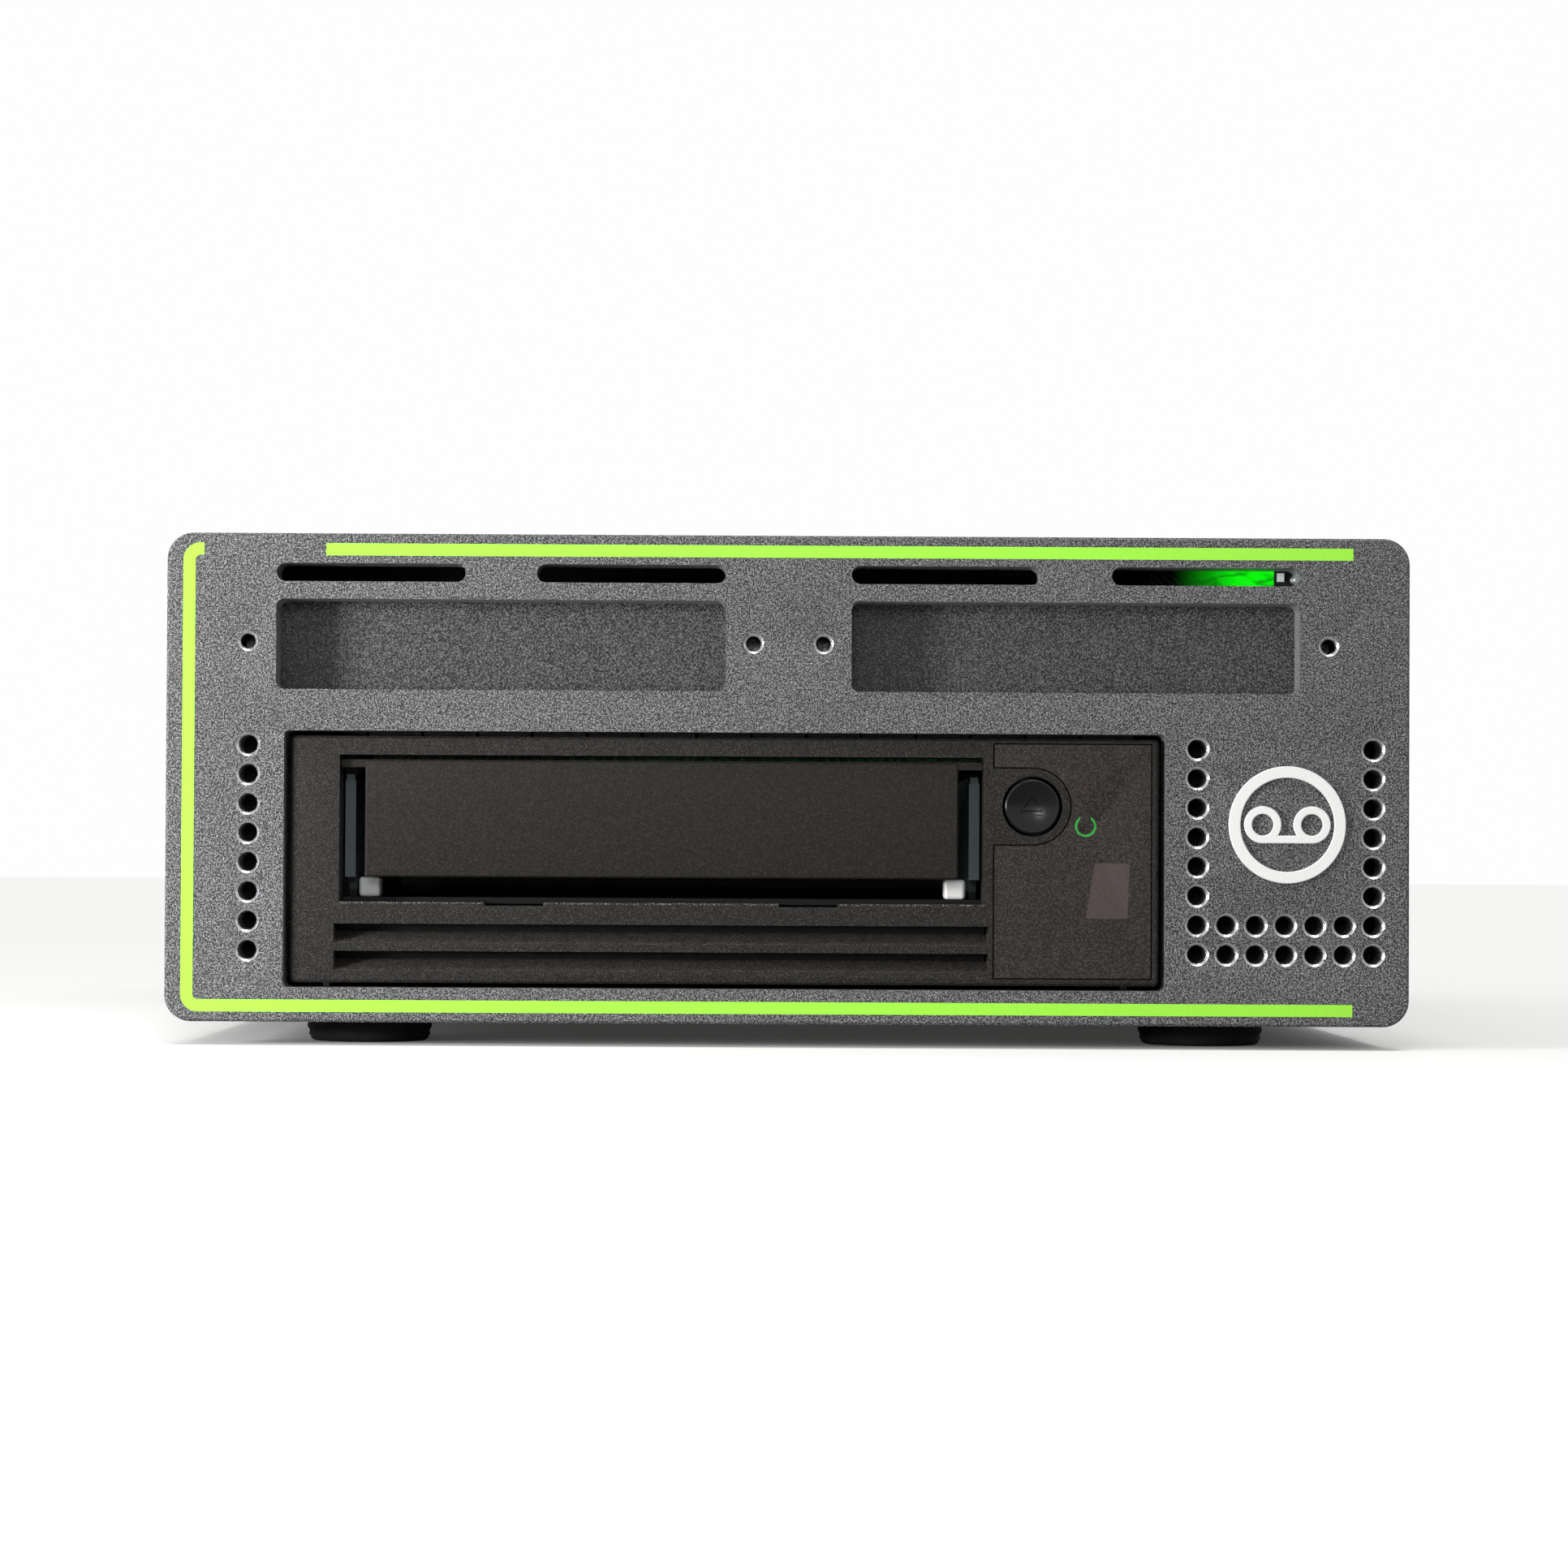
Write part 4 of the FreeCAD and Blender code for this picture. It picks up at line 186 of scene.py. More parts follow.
def powderPaint(name, shade=1.0):
    # baked powder coat: a pebbled skin with pale flecks, cut away to bare metal at the holes' mouths,
    # with painted shade along the face's top and bottom rims
    look = powderLook
    paint = Finish(name, tone(*look["dark"]), 0.5, Specular_IOR_Level=0.25)
    pebble = paint.noise(look["grain"] * mm)
    fleck = (0.4 * pebble + 0.6 * paint.noise(look["fleck"] * mm, 1.0)).rise(0.45, 0.7)
    broad = paint.noise(look["broad"] * mm).rise(0.2, 0.8)
    skin = paint.mix(fleck * (0.88 + 0.12 * broad), tone(*look["dark"], shade),
                     tone(*look["light"], shade))
    # painted shade: the face darkens towards its top and bottom edges
    low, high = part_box("front_panel")
    deep, level = paint.axes()[1:]
    behind = deep.rise(*(low.y + depth * mm for depth in look["behind"]))
    lit = ((high.z - level).rise(*(fade * mm for fade in look["top"]))
           * (level - low.z).rise(*(fade * mm for fade in look["bottom"])))
    skin = paint.mix(lit.maths("MAXIMUM", behind), tone(*look["edge"]), skin)
    # the bevels of all openings lie just behind the front face
    rim = look["rim"] * mm
    start, end = (low.y + depth * mm for depth in look["bevel"])
    bevels = paint.inside((low.x + rim, start, low.z + rim), (high.x - rim, end, high.z - rim),
                          look["soft"] * mm)
    bare = bevels * paint.noise(look["chip"] * mm).rise(0.3, 0.42)
    paint.set("Base Color", paint.mix(bare, skin, tone(*look["bare"])))
    paint.set("Metallic", bare)
    paint.set("Roughness", 0.44 + 0.18 * fleck - 0.2 * bare)
    paint.bump(pebble, look["depth"] * mm)
    return paint.material


plasticLook = {"grain": 0.22, "fine": 0.14, "depth": 0.03, "pale": (143, 138, 132), "soft": 0.1,
               # pale is the painted highlight's colour; then the low corner, high corner and share of
               # each painted highlight, from the bezel's low corner
               "paintedHighlights": (((8.3, -0.1, 13.55), (118.3, 0.9, 13.9), 1.0),
                          ((1.0, 0.15, 1.9), (147.0, 5.2, 4.2), 0.7),
                          ((1.0, 0.15, 6.5), (147.0, 5.2, 8.8), 0.7))}


def mouldedPlastic(name, colour, roughness, texture=1.0, lift=1.9, specular=0.18):
    # spark-textured moulding: fine pits with paler rims, and painted highlights on the ledge's front edge
    # and the air slots' floors
    look = plasticLook
    plastic = Finish(name, tone(*colour), roughness, Specular_IOR_Level=specular)
    pits = 0.6 * plastic.noise(look["grain"] * mm) + 0.4 * plastic.noise(look["fine"] * mm, 1.0)
    rims = pits.rise(0.48, 0.7)
    skin = plastic.mix(rims, tone(*colour), tone(*colour, 1 + (lift - 1) * texture))
    # painted highlight: the front edge of the ledge and the floors of the air slots are painted paler
    corner = np.array(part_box("drive_bezel")[0])
    highlightShare = 0.0
    for low, high, share in look["paintedHighlights"]:
        place = plastic.inside(corner + np.array(low) * mm, corner + np.array(high) * mm,
                               look["soft"] * mm)
        highlightShare = share * place + highlightShare
    plastic.set("Base Color", plastic.mix(rims * highlightShare, skin, tone(*look["pale"])))
    plastic.set("Roughness", roughness + 0.12 * rims)
    plastic.bump(pits, look["depth"] * texture * mm)
    return plastic.material


def sheetSteel(name, colour):
    # zinc-plated sheet: faint crystals and rolling lines
    steel = Finish(name, tone(*colour), 0.36, Metallic=1.0)
    crystal = steel.cells(6 * mm)
    lines = steel.noise(0.8 * mm, 3.0, steel.stretched(1, 0.04, 1))
    shade = (crystal * 0.5 + lines * 0.5).rise(0.15, 0.85)
    steel.set("Base Color", steel.mix(shade, tone(*colour, 0.86), tone(*colour)))
    steel.set("Roughness", 0.3 + 0.2 * lines)
    steel.bump(lines, 0.006 * mm)
    return steel.material


def castMetal(name, colour):
    # die-cast aluminium: grainy skin with soft flow marks
    metal = Finish(name, tone(*colour), 0.5, Metallic=0.85)
    skin = metal.noise(0.5 * mm, 3.0)
    flow = metal.noise(14 * mm, distortion=1.5)
    metal.set("Base Color", metal.mix(flow, tone(*colour, 0.82), tone(*colour)))
    metal.set("Roughness", 0.42 + 0.2 * skin)
    metal.bump(skin, 0.03 * mm)
    return metal.material


def turnedMetal(name, colour, roughness):
    # machined bar: fine rings of the tool
    metal = Finish(name, tone(*colour), roughness, Metallic=1.0)
    rings = metal.noise(0.25 * mm, 2.0, metal.stretched(0.3, 0.3, 1.0))
    metal.set("Roughness", roughness + 0.14 * rings)
    metal.set("Base Color", metal.mix(rings, tone(*colour, 0.88), tone(*colour)))
    metal.bump(rings, 0.004 * mm)
    return metal.material


def platedScrew(name):
    # black zinc, worn to steel on the high spots
    metal = Finish(name, tone(70, 70, 72), 0.35, Metallic=1.0)
    wear = metal.noise(0.7 * mm, 3.0).rise(0.5, 0.72)
    metal.set("Base Color", metal.mix(wear, tone(66, 66, 68), tone(150, 150, 152)))
    metal.set("Roughness", 0.28 + 0.2 * metal.noise(0.3 * mm))
    return metal.material


def footRubber(name):
    # black rubber with dust in its grain
    rubber = Finish(name, tone(30, 30, 31), 0.75, Specular_IOR_Level=0.25)
    skin = rubber.noise(0.45 * mm, 3.0)
    dust = rubber.noise(3 * mm, 3.0).rise(0.55, 0.8)
    rubber.set("Base Color", rubber.mix(dust * 0.4, tone(30, 30, 31), tone(62, 61, 59)))
    rubber.set("Roughness", 0.66 + 0.2 * skin)
    rubber.bump(skin, 0.04 * mm)
    return rubber.material


def printedBoard(name):
    # solder mask over copper tracks
    board = Finish(name, tone(24, 70, 46), 0.35, Coat_Weight=0.4, Coat_Roughness=0.2)
    track = board.cells(2.4 * mm, board.stretched(1, 0.35, 1), "DISTANCE_TO_EDGE").rise(0.05, 0.1)
    board.set("Base Color", board.mix(track, tone(44, 104, 66), tone(20, 62, 40)))
    board.set("Roughness", 0.3 + 0.15 * board.noise(1 * mm))
    board.bump(track, 0.03 * mm)
    return board.material


def greenLight(name):
    # the light bar and the window's ring
    light = Finish(name, tone(8, 40, 12), 0.3)
    glow = light.noise(0.9 * mm).rise(0.25, 0.6)
    light.set("Emission Color", light.mix(glow, tone(22, 160, 40), tone(50, 215, 72)))
    light.set("Emission Strength", 0.55)
    return light.material


windowLook = {"colour": (32, 28, 26), "pale": (72, 65, 61), "patch": (80, 70, 68),
              # the patch's levels, and its two sides at the bottom and at the top, in mm
              "low": 18.1, "high": 27.8, "left": (50.8, 52.4), "right": (58.2, 58.6), "soft": 0.25}


def smokedWindow(name):
    # smoked cover: the display behind it shows as a paler patch that widens downwards
    look = windowLook
    cover = Finish(name, tone(*look["colour"]), 0.34, Specular_IOR_Level=0.2)
    across, _, level = cover.axes()
    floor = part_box("front_panel")[0].z
    low, high = floor + look["low"] * mm, floor + look["high"] * mm
    height = (level - low) / (high - low)
    (leftLow, leftHigh), (rightLow, rightHigh) = look["left"], look["right"]
    left = across - (leftLow * mm + height * ((leftHigh - leftLow) * mm))
    right = (rightLow * mm + height * ((rightHigh - rightLow) * mm)) - across
    patch = 1.0
    for distance in (left, right, level - low, high - level):
        patch = distance.rise(0, look["soft"] * mm) * patch
    pits = cover.noise(0.3 * mm)
    grain = pits.rise(0.42, 0.72)
    skin = cover.mix(grain, tone(*look["colour"]), tone(*look["pale"]))
    cover.set("Base Color", cover.mix(patch * (0.75 + 0.25 * grain), skin, tone(*look["patch"])))
    cover.set("Roughness", 0.3 + 0.14 * pits)
    cover.bump(pits, 0.008 * mm)
    return cover.material


def nylonWhite(name):
    # white nylon, slightly cloudy and translucent
    nylon = Finish(name, tone(226, 225, 218), 0.4, Subsurface_Weight=0.25, Subsurface_Scale=0.002)
    cloud = nylon.noise(1.6 * mm)
    nylon.set("Base Color", nylon.mix(cloud, tone(246, 245, 242), tone(254, 253, 251)))
    nylon.bump(cloud, 0.01 * mm)
    return nylon.material


def trayCoat(name):
    # grey-green coat on the tray's walls; black up to 2.2 mm above the tray's bottom, grey-green above
    # 3.4 mm
    coat = Finish(name, tone(120, 132, 134), 0.45, Specular_IOR_Level=0.15)
    skin = coat.noise(0.35 * mm)
    height = coat.axes()[2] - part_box("loader_tray")[0].z
    grey = coat.mix(skin, tone(92, 103, 106), tone(124, 136, 139))
    coat.set("Base Color", coat.mix(height.rise(2.2 * mm, 3.4 * mm), tone(16, 17, 17), grey))
    coat.set("Roughness", 0.38 + 0.16 * skin)
    coat.bump(skin, 0.01 * mm)
    return coat.material


finishes = {
    "face_paint": powderPaint("face_paint"),
    # the bay blanks take the face's paint at 0.58 as painted shade for their recesses; the case's paint
    # at 0.85 is its own darker coat
    "blank_paint": powderPaint("blank_paint", 0.58),
    "case_paint": powderPaint("case_paint", 0.85),
    "chassis_steel": sheetSteel("chassis_steel", (176, 178, 180)),
    "foot_rubber": footRubber("foot_rubber"),
    "light_green": greenLight("light_green"),
    "bezel_plastic": mouldedPlastic("bezel_plastic", (22, 21, 20), 0.5, 1.0, 3.5),
    "button_plastic": mouldedPlastic("button_plastic", (10, 9, 8), 0.2, 0.03, 1.3, 0.3),
    "door_plastic": mouldedPlastic("door_plastic", (25, 23, 21), 0.5, 0.7, 3.0),
    "window_plastic": smokedWindow("window_plastic"),
    "drive_casting": castMetal("drive_casting", (150, 152, 154)),
    "board_green": printedBoard("board_green"),
    "connector_black": mouldedPlastic("connector_black", (30, 30, 31), 0.42, 0.7),
    "tray_steel": trayCoat("tray_steel"),
    "nylon": nylonWhite("nylon"),
    "sink_aluminium": castMetal("sink_aluminium", (188, 190, 193)),
    "screw_steel": platedScrew("screw_steel"),
    "display_plastic": mouldedPlastic("display_plastic", (62, 58, 56), 0.3, 0.2),
    "motor_steel": turnedMetal("motor_steel", (168, 170, 172), 0.3),
    "hub_plastic": mouldedPlastic("hub_plastic", (196, 194, 188), 0.42, 0.5, 1.05),
    "reel_plastic": mouldedPlastic("reel_plastic", (58, 60, 64), 0.4, 0.5),
    "roller_steel": turnedMetal("roller_steel", (190, 192, 194), 0.22),
    "pin_brass": turnedMetal("pin_brass", (196, 160, 92), 0.28),
}
for node in nodes.values():
    for holder in node.material_slots:
        holder.material = finishes[holder.material.name.split(".")[0]]
print("finishes made:", len(finishes))


# mesh helpers

def gridFaces(rows, columns, around=False):
    # quads between neighbouring points of a rows by columns grid; around joins last column to first
    row = np.arange(rows - 1)[:, None]
    column = np.arange(columns if around else columns - 1)[None, :]
    after = (column + 1) % columns
    corners = (row * columns + column, row * columns + after,
               (row + 1) * columns + after, (row + 1) * columns + column)
    return np.stack([np.broadcast_to(corner, corners[0].shape) for corner in corners], -1).reshape(-1, 4)


def addPiece(name, points, faces, material, body="case", smooth=30):
    # a mesh at the origin, its doubles merged and its faces turned outwards
    mesh = bpy.data.meshes.new(name)
    mesh.from_pydata(np.asarray(points).reshape(-1, 3).tolist(), [], np.asarray(faces).tolist())
    build = bmesh.new()
    build.from_mesh(mesh)
    bmesh.ops.remove_doubles(build, verts=build.verts, dist=1e-7)
    bmesh.ops.recalc_face_normals(build, faces=build.faces)
    build.to_mesh(mesh)
    build.free()
    mesh.polygons.foreach_set("use_smooth", [True] * len(mesh.polygons))
    mesh.set_sharp_from_angle(angle=math.radians(smooth))
    piece = bpy.data.objects.new(name, mesh)
    bpy.context.scene.collection.objects.link(piece)
    mesh.materials.append(finishes[material] if isinstance(material, str) else material)
    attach(piece, body)
    return piece


def joined(parts):
    # several (points, faces) pairs as one
    points = [np.asarray(part[0], float).reshape(-1, 3) for part in parts]
    starts = np.cumsum([0] + [len(some) for some in points[:-1]])
    faces = [np.asarray(part[1]) + start for part, start in zip(parts, starts)]
    return np.concatenate(points), np.concatenate(faces)


def turned(radii, heights, turns):
    # a profile turned round its axis: point = (r cos a, r sin a, h)
    angle = np.linspace(0, 2 * math.pi, turns, endpoint=False)[None, :]
    radius = np.asarray(radii, float)[:, None]
    points = np.stack(np.broadcast_arrays(radius * np.cos(angle), radius * np.sin(angle),
                                          np.asarray(heights, float)[:, None]), -1)
    return points, gridFaces(len(radii), turns, True)


def ribbon(path, width, thick, back, closed=False):
    # a strip whose back lies at y = back: path point plus or minus half a width along the mitred normal
    path = np.asarray(path, float)
    ahead = np.roll(path, -1, 0) - path
    behind = path - np.roll(path, 1, 0)
    if not closed:
        ahead[-1] = behind[-1]
        behind[0] = ahead[0]
    ahead /= np.linalg.norm(ahead, axis=1, keepdims=True)
    behind /= np.linalg.norm(behind, axis=1, keepdims=True)
    mean = (ahead + behind) / 2
    length = (mean ** 2).sum(1, keepdims=True)
    side = np.stack([-mean[:, 1], mean[:, 0]], 1) / length * width / 2
    ring = np.stack([path + side, path + side, path - side, path - side], 1)
    depth = np.broadcast_to(np.array([back, back - thick, back - thick, back]), ring.shape[:2])
    points = np.stack([ring[..., 0], depth, ring[..., 1]], -1)
    if closed:
        points = np.concatenate([points, points[:1]])
    faces = gridFaces(len(points), 4, True)
    if closed:
        return points, faces
    last = (len(points) - 1) * 4
    ends = np.array([[0, 1, 2, 3], [last + 3, last + 2, last + 1, last]])
    return points, np.concatenate([faces, ends])


def arcPoints(centre, radius, start, end, count=12):
    # point = centre + radius (cos a, sin a), with a in degrees
    angle = np.radians(np.linspace(start, end, count))
    return np.stack([centre[0] + radius * np.cos(angle), centre[1] + radius * np.sin(angle)], 1)


def slab(front, back):
    # two equal grids of points, one behind the other, joined by a wall round their rims
    rows, columns = front.shape[:2]
    faces = gridFaces(rows, columns)
    count = rows * columns
    index = np.arange(count).reshape(rows, columns)
    rim = np.concatenate([index[0, :], index[1:, -1], index[-1, -2::-1], index[-2:0:-1, 0]])
    after = np.roll(rim, -1)
    wall = np.stack([rim, after, after + count, rim + count], 1)
    points = np.concatenate([front.reshape(-1, 3), back.reshape(-1, 3)])
    return points, np.concatenate([faces, faces[:, ::-1] + count, wall])


def addBevel(piece, width, segments=2):
    # rounds a piece's edges; the width is in mm
    bevel = piece.modifiers.new("edges", "BEVEL")
    bevel.width = width * mm
    bevel.segments = segments
    bevel.harden_normals = True
    return bevel


def solidPlaces(node, reach):
    # lowest and highest corners of a node's solids, each smaller than reach and further apart
    points = np.empty(len(nodes[node].data.vertices) * 3)
    nodes[node].data.vertices.foreach_get("co", points)
    points = points.reshape(-1, 3)
    found = []
    while len(points):
        near = np.linalg.norm(points - points[0], axis=1) < reach
        found.append((points[near].min(0), points[near].max(0)))
        points = points[~near]
    return found


# rounded edges: node, width of the round in mm, body it rides on

roundedEdges = {"front_panel": (0.3, "case"), "drive_bezel": (0.25, "case"),
                "cartridge_door": (0.18, "cartridge_door"), "status_window": (0.12, "case"),
                "top_cover": (0.15, "case"), "bay_blank_left": (0.15, "case"),
                "bay_blank_right": (0.15, "case"), "inlet_socket": (0.35, "case"),
                "switch_housing": (0.25, "case"), "rocker_switch": (0.3, "rocker"),
                "fan_frame": (0.25, "case"), "loader_tray": (0.15, "loader")}
edgeLook = {"merge": 0.002, "flat": 0.4, "sharp": 38}           # mm and degrees


def softEdged(node, width, body):
    # a merged copy of a CAD node with its sharp edges rounded, shown in its place
    mesh = nodes[node].data.copy()
    build = bmesh.new()
    build.from_mesh(mesh)
    bmesh.ops.remove_doubles(build, verts=build.verts, dist=edgeLook["merge"] * mm)
    bmesh.ops.dissolve_limit(build, angle_limit=math.radians(edgeLook["flat"]), verts=build.verts,
                             edges=build.edges)
    build.to_mesh(mesh)
    build.free()
    mesh.polygons.foreach_set("use_smooth", [True] * len(mesh.polygons))
    mesh.set_sharp_from_angle(angle=math.radians(edgeLook["sharp"]))
    piece = bpy.data.objects.new(node + "_finished", mesh)
    bpy.context.scene.collection.objects.link(piece)
    bevel = addBevel(piece, width)
    bevel.limit_method = "ANGLE"
    bevel.angle_limit = math.radians(edgeLook["sharp"])
    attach(piece, body)
    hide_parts(node)


for name, (width, body) in roundedEdges.items():
    softEdged(name, width, body)
print("edges rounded:", len(roundedEdges))


# printed stripe that frames the panel, open where a name would stand

panelLow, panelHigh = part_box("front_panel")
stripe = {"width": 2.07, "inset": 3.8, "margin": 2.75, "corner": 1.9, "end": 9.7,
          "gap": (6.3, 27.1), "thick": 0.05, "ink": (166, 249, 72)}


def printInk(name, colour, ragged=0.06):
    # screen-printed ink: a faint mottle over the paint's grain
    ink = Finish(name, tone(*colour), 0.42, Specular_IOR_Level=0.3)
    mottle = ink.noise(0.5 * mm, 3.0)
    ink.set("Base Color", ink.mix(mottle, tone(*colour, 1 - ragged), tone(*colour)))
    ink.set("Roughness", 0.38 + 0.14 * mottle)
    ink.bump(ink.noise(0.34 * mm), 0.012 * mm)
    return ink.material


def addStripe():
    top, bottom = panelHigh.z - stripe["margin"] * mm, panelLow.z + stripe["margin"] * mm
    left, right = panelLow.x + stripe["inset"] * mm, panelHigh.x - stripe["end"] * mm
    corner, width, thick = (stripe[name] * mm for name in ("corner", "width", "thick"))
    before, after = (panelLow.x + gap * mm for gap in stripe["gap"])
    hook = np.concatenate([[(before, top)],
                           arcPoints((left + corner, top - corner), corner, 90, 180),
                           arcPoints((left + corner, bottom + corner), corner, 180, 270),
                           [(right, bottom)]])
    points, faces = joined([ribbon(hook, width, thick, panelLow.y),
                            ribbon([(after, top), (right, top)], width, thick, panelLow.y)])
    addPiece("face_stripe", points, faces, printInk("stripe_ink", stripe["ink"]))


addStripe()


# round badge with two reels and the tape between them

badge = {"across": 85.1, "level": 34.4, "radius": 9.0, "line": 2.0, "reel": 2.5, "apart": 8.4,
         "reelLine": 1.35, "thick": 0.7, "round": 0.18, "ink": (244, 244, 242), "turns": 72}


def addBadge():
    middle = np.array([badge["across"] * mm, panelLow.z + badge["level"] * mm])
    reel, half = badge["reel"] * mm, badge["apart"] * mm / 2
    line, thick = badge["reelLine"] * mm, badge["thick"] * mm

    def circle(centre, radius, width):
        last = 360 - 360 / badge["turns"]
        return ribbon(arcPoints(centre, radius, 0, last, badge["turns"]), width, thick, panelLow.y, True)

    parts = [circle(middle, badge["radius"] * mm, badge["line"] * mm)]
    for side in (-1, 1):
        parts.append(circle(middle + (side * half, 0), reel, line))
    level = middle[1] - reel
    # the tape's front lies just behind the reels' fronts, so that they don't coincide
    parts.append(ribbon([(middle[0] - half, level), (middle[0] + half, level)], line, thick * 0.98,
                        panelLow.y))
    piece = addPiece("face_badge", *joined(parts), printInk("badge_white", badge["ink"], 0.02))
    addBevel(piece, badge["round"])


addBadge()
print("stripe and badge made")


# eject button: a dished cap whose eject sign is sunk into it

button = {"flange": 1.25, "flangeThick": 1.2, "skirt": 0.4, "edge": 0.45, "dish": 0.72,
          "sink": 0.16, "slope": 0.1, "rings": 150, "turns": 240,
          "sign": {"half": 1.45, "height": 1.9, "low": -0.25, "barHalf": 1.82, "barHigh": -0.75,
                   "barLow": -1.48}}


def signDepth(x, z):
    # 1 inside the triangle and the bar, 0 outside, with sloping walls
    sign, slope = button["sign"], button["slope"]
    run = sign["half"] / sign["height"]
    cosine = 1 / math.hypot(1, run)
    sides = ((sign["low"] + sign["height"] - z) * run - np.abs(x)) * cosine
    triangle = np.minimum(sides, z - sign["low"])
    bar = np.minimum(sign["barHalf"] - np.abs(x),
                     np.minimum(sign["barHigh"] - z, z - sign["barLow"]))
    return np.clip(np.maximum(triangle, bar) / slope + 0.5, 0, 1)


def addButton():
    # radius r runs from the middle to the rim; depth = dish (1 - (r / edge)^2), then a round rim
    low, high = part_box("eject_button")
    middle = (low + high) / 2
    outer = (high.x - low.x) / 2 / mm                       # the flange behind the bezel
    cap = outer - button["flange"]
    edge = cap - button["edge"]
    inside = np.linspace(0, edge, button["rings"])
    bend = np.linspace(0, math.pi / 2, 9)[1:]
    radii = np.concatenate([inside, edge + button["edge"] * np.sin(bend), [cap, outer, outer]])
    back = (high.y - low.y) / mm - button["skirt"]
    shoulder = back - button["flangeThick"]
    depth = np.concatenate([button["dish"] * (1 - (inside / edge) ** 2),
                            button["edge"] * (1 - np.cos(bend)), [shoulder, shoulder, back]])
    points, faces = turned(radii, depth, button["turns"])
    sunk = signDepth(points[..., 0], points[..., 1]) * button["sink"]
    points[..., 2] += np.where(np.hypot(points[..., 0], points[..., 1]) < edge, sunk, 0)
    placed = np.stack([middle.x + points[..., 0] * mm, low.y + points[..., 2] * mm,
                       middle.z + points[..., 1] * mm], -1)
    piece = addPiece("eject_button_cap", placed, faces, "button_plastic", "eject_button", 60)
    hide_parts("eject_button")


addButton()


# light bar behind the last slot: a folded green light guide in a dark holder, with its clip and pin

guide = {"rows": 60, "columns": 260, "fold": 0.35, "folds": 3.1, "lean": 1.2, "out": 0.45, "sunk": 0.1,
         # black up to the first place of the fade, in X, and bright from the second
         "edge": 1.1, "reach": 12.0, "end": 4.9, "fade": (66.0, 77.5), "bright": (4, 240, 4),
         # ends are distances from the bar's right end, and out is how far a back is in front of the bar
         "holder": {"ends": (4.9, 0.4), "less": 0.5, "thick": 0.6, "out": 0.05},
         "clip": {"ends": (4.4, 3.2), "above": 0.5, "tall": 1.5, "thick": 0.5, "out": 0.75},
         "pin": {"end": 1.3, "out": 0.5, "radii": (0, 0.5, 0.9, 1.05, 1.05, 0),
                 "heights": (1.5, 1.5, 1.3, 1.0, 0, 0), "turns": 32}}


def guideGlow(name):
    # bright leaning folds that fade to black towards the left
    light = Finish(name, tone(2, 12, 3), 0.5, Specular_IOR_Level=0.1)
    black = tone(0, 0, 0)
    fade = light.axes()[0].rise(*(end * mm for end in guide["fade"])) ** 2.0
    streak = light.noise(2.2 * mm, 1.5, light.stretched(0.35, 1, 1.4, (0, math.radians(60), 0)),
                         0.5).rise(0.3, 0.5)
    level = fade * (0.25 + 0.75 * streak)
    light.set("Emission Color", light.mix(level, black, tone(*guide["bright"])))
    light.set("Emission Strength", 1.0)
    light.set("Base Color", light.mix(fade, black, tone(10, 60, 16)))
    return light.material


def addGuide():
    # y = front + fold / 2 * sin(slanted distance)
    low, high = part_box("activity_light")
    x = np.linspace(low.x - guide["reach"] * mm, high.x - guide["end"] * mm, guide["columns"])[None, :]
    z = np.linspace(low.z + guide["edge"] * mm, high.z - guide["edge"] * mm, guide["rows"])[:, None]
    slant = ((x - low.x) + (z - low.z) * guide["lean"]) / (guide["folds"] * mm)
    y = low.y - guide["out"] * mm + guide["fold"] * mm * np.sin(slant * 2 * math.pi) * 0.5
    front = np.stack(np.broadcast_arrays(x, y, z), -1)
    back = np.stack(np.broadcast_arrays(x, low.y + guide["sunk"] * mm, z), -1)
    addPiece("activity_guide", *slab(front, back), guideGlow("guide_glow"))


def addGuideFittings():
    low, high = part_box("activity_light")
    middle = (low.z + high.z) / 2
    look = guide["holder"]
    start, end = (high.x - distance * mm for distance in look["ends"])
    points, faces = ribbon([(start, middle), (end, middle)], high.z - low.z - look["less"] * mm,
                           look["thick"] * mm, low.y - look["out"] * mm)
    addPiece("activity_holder", points, faces, "foot_rubber")
    look = guide["clip"]
    start, end = (high.x - distance * mm for distance in look["ends"])
    level = middle + look["above"] * mm
    points, faces = ribbon([(start, level), (end, level)], look["tall"] * mm, look["thick"] * mm,
                           low.y - look["out"] * mm)
    addPiece("activity_clip", points, faces, "nylon")
    look = guide["pin"]
    points, faces = turned(look["radii"], look["heights"], look["turns"])
    placed = np.stack([high.x - look["end"] * mm + points[..., 0] * mm,
                       low.y - look["out"] * mm - points[..., 2] * mm, middle + points[..., 1] * mm], -1)
    addPiece("activity_pin", placed, faces[:, ::-1], "roller_steel")


addGuide()
addGuideFittings()
print("button and lights made")


# spring strip and gasket that close the gap between the drive and the panel above it; the gasket's black
# is also painted shade for the space behind the gap

spring = {"fingers": 15, "slit": 0.5, "bow": 1.3, "thick": 0.15, "front": 11.6, "end": 3.0, "short": 1.2,
          "steps": 14, "gasket": {"thick": 0.2, "short": 1.0, "behind": 1.0}}


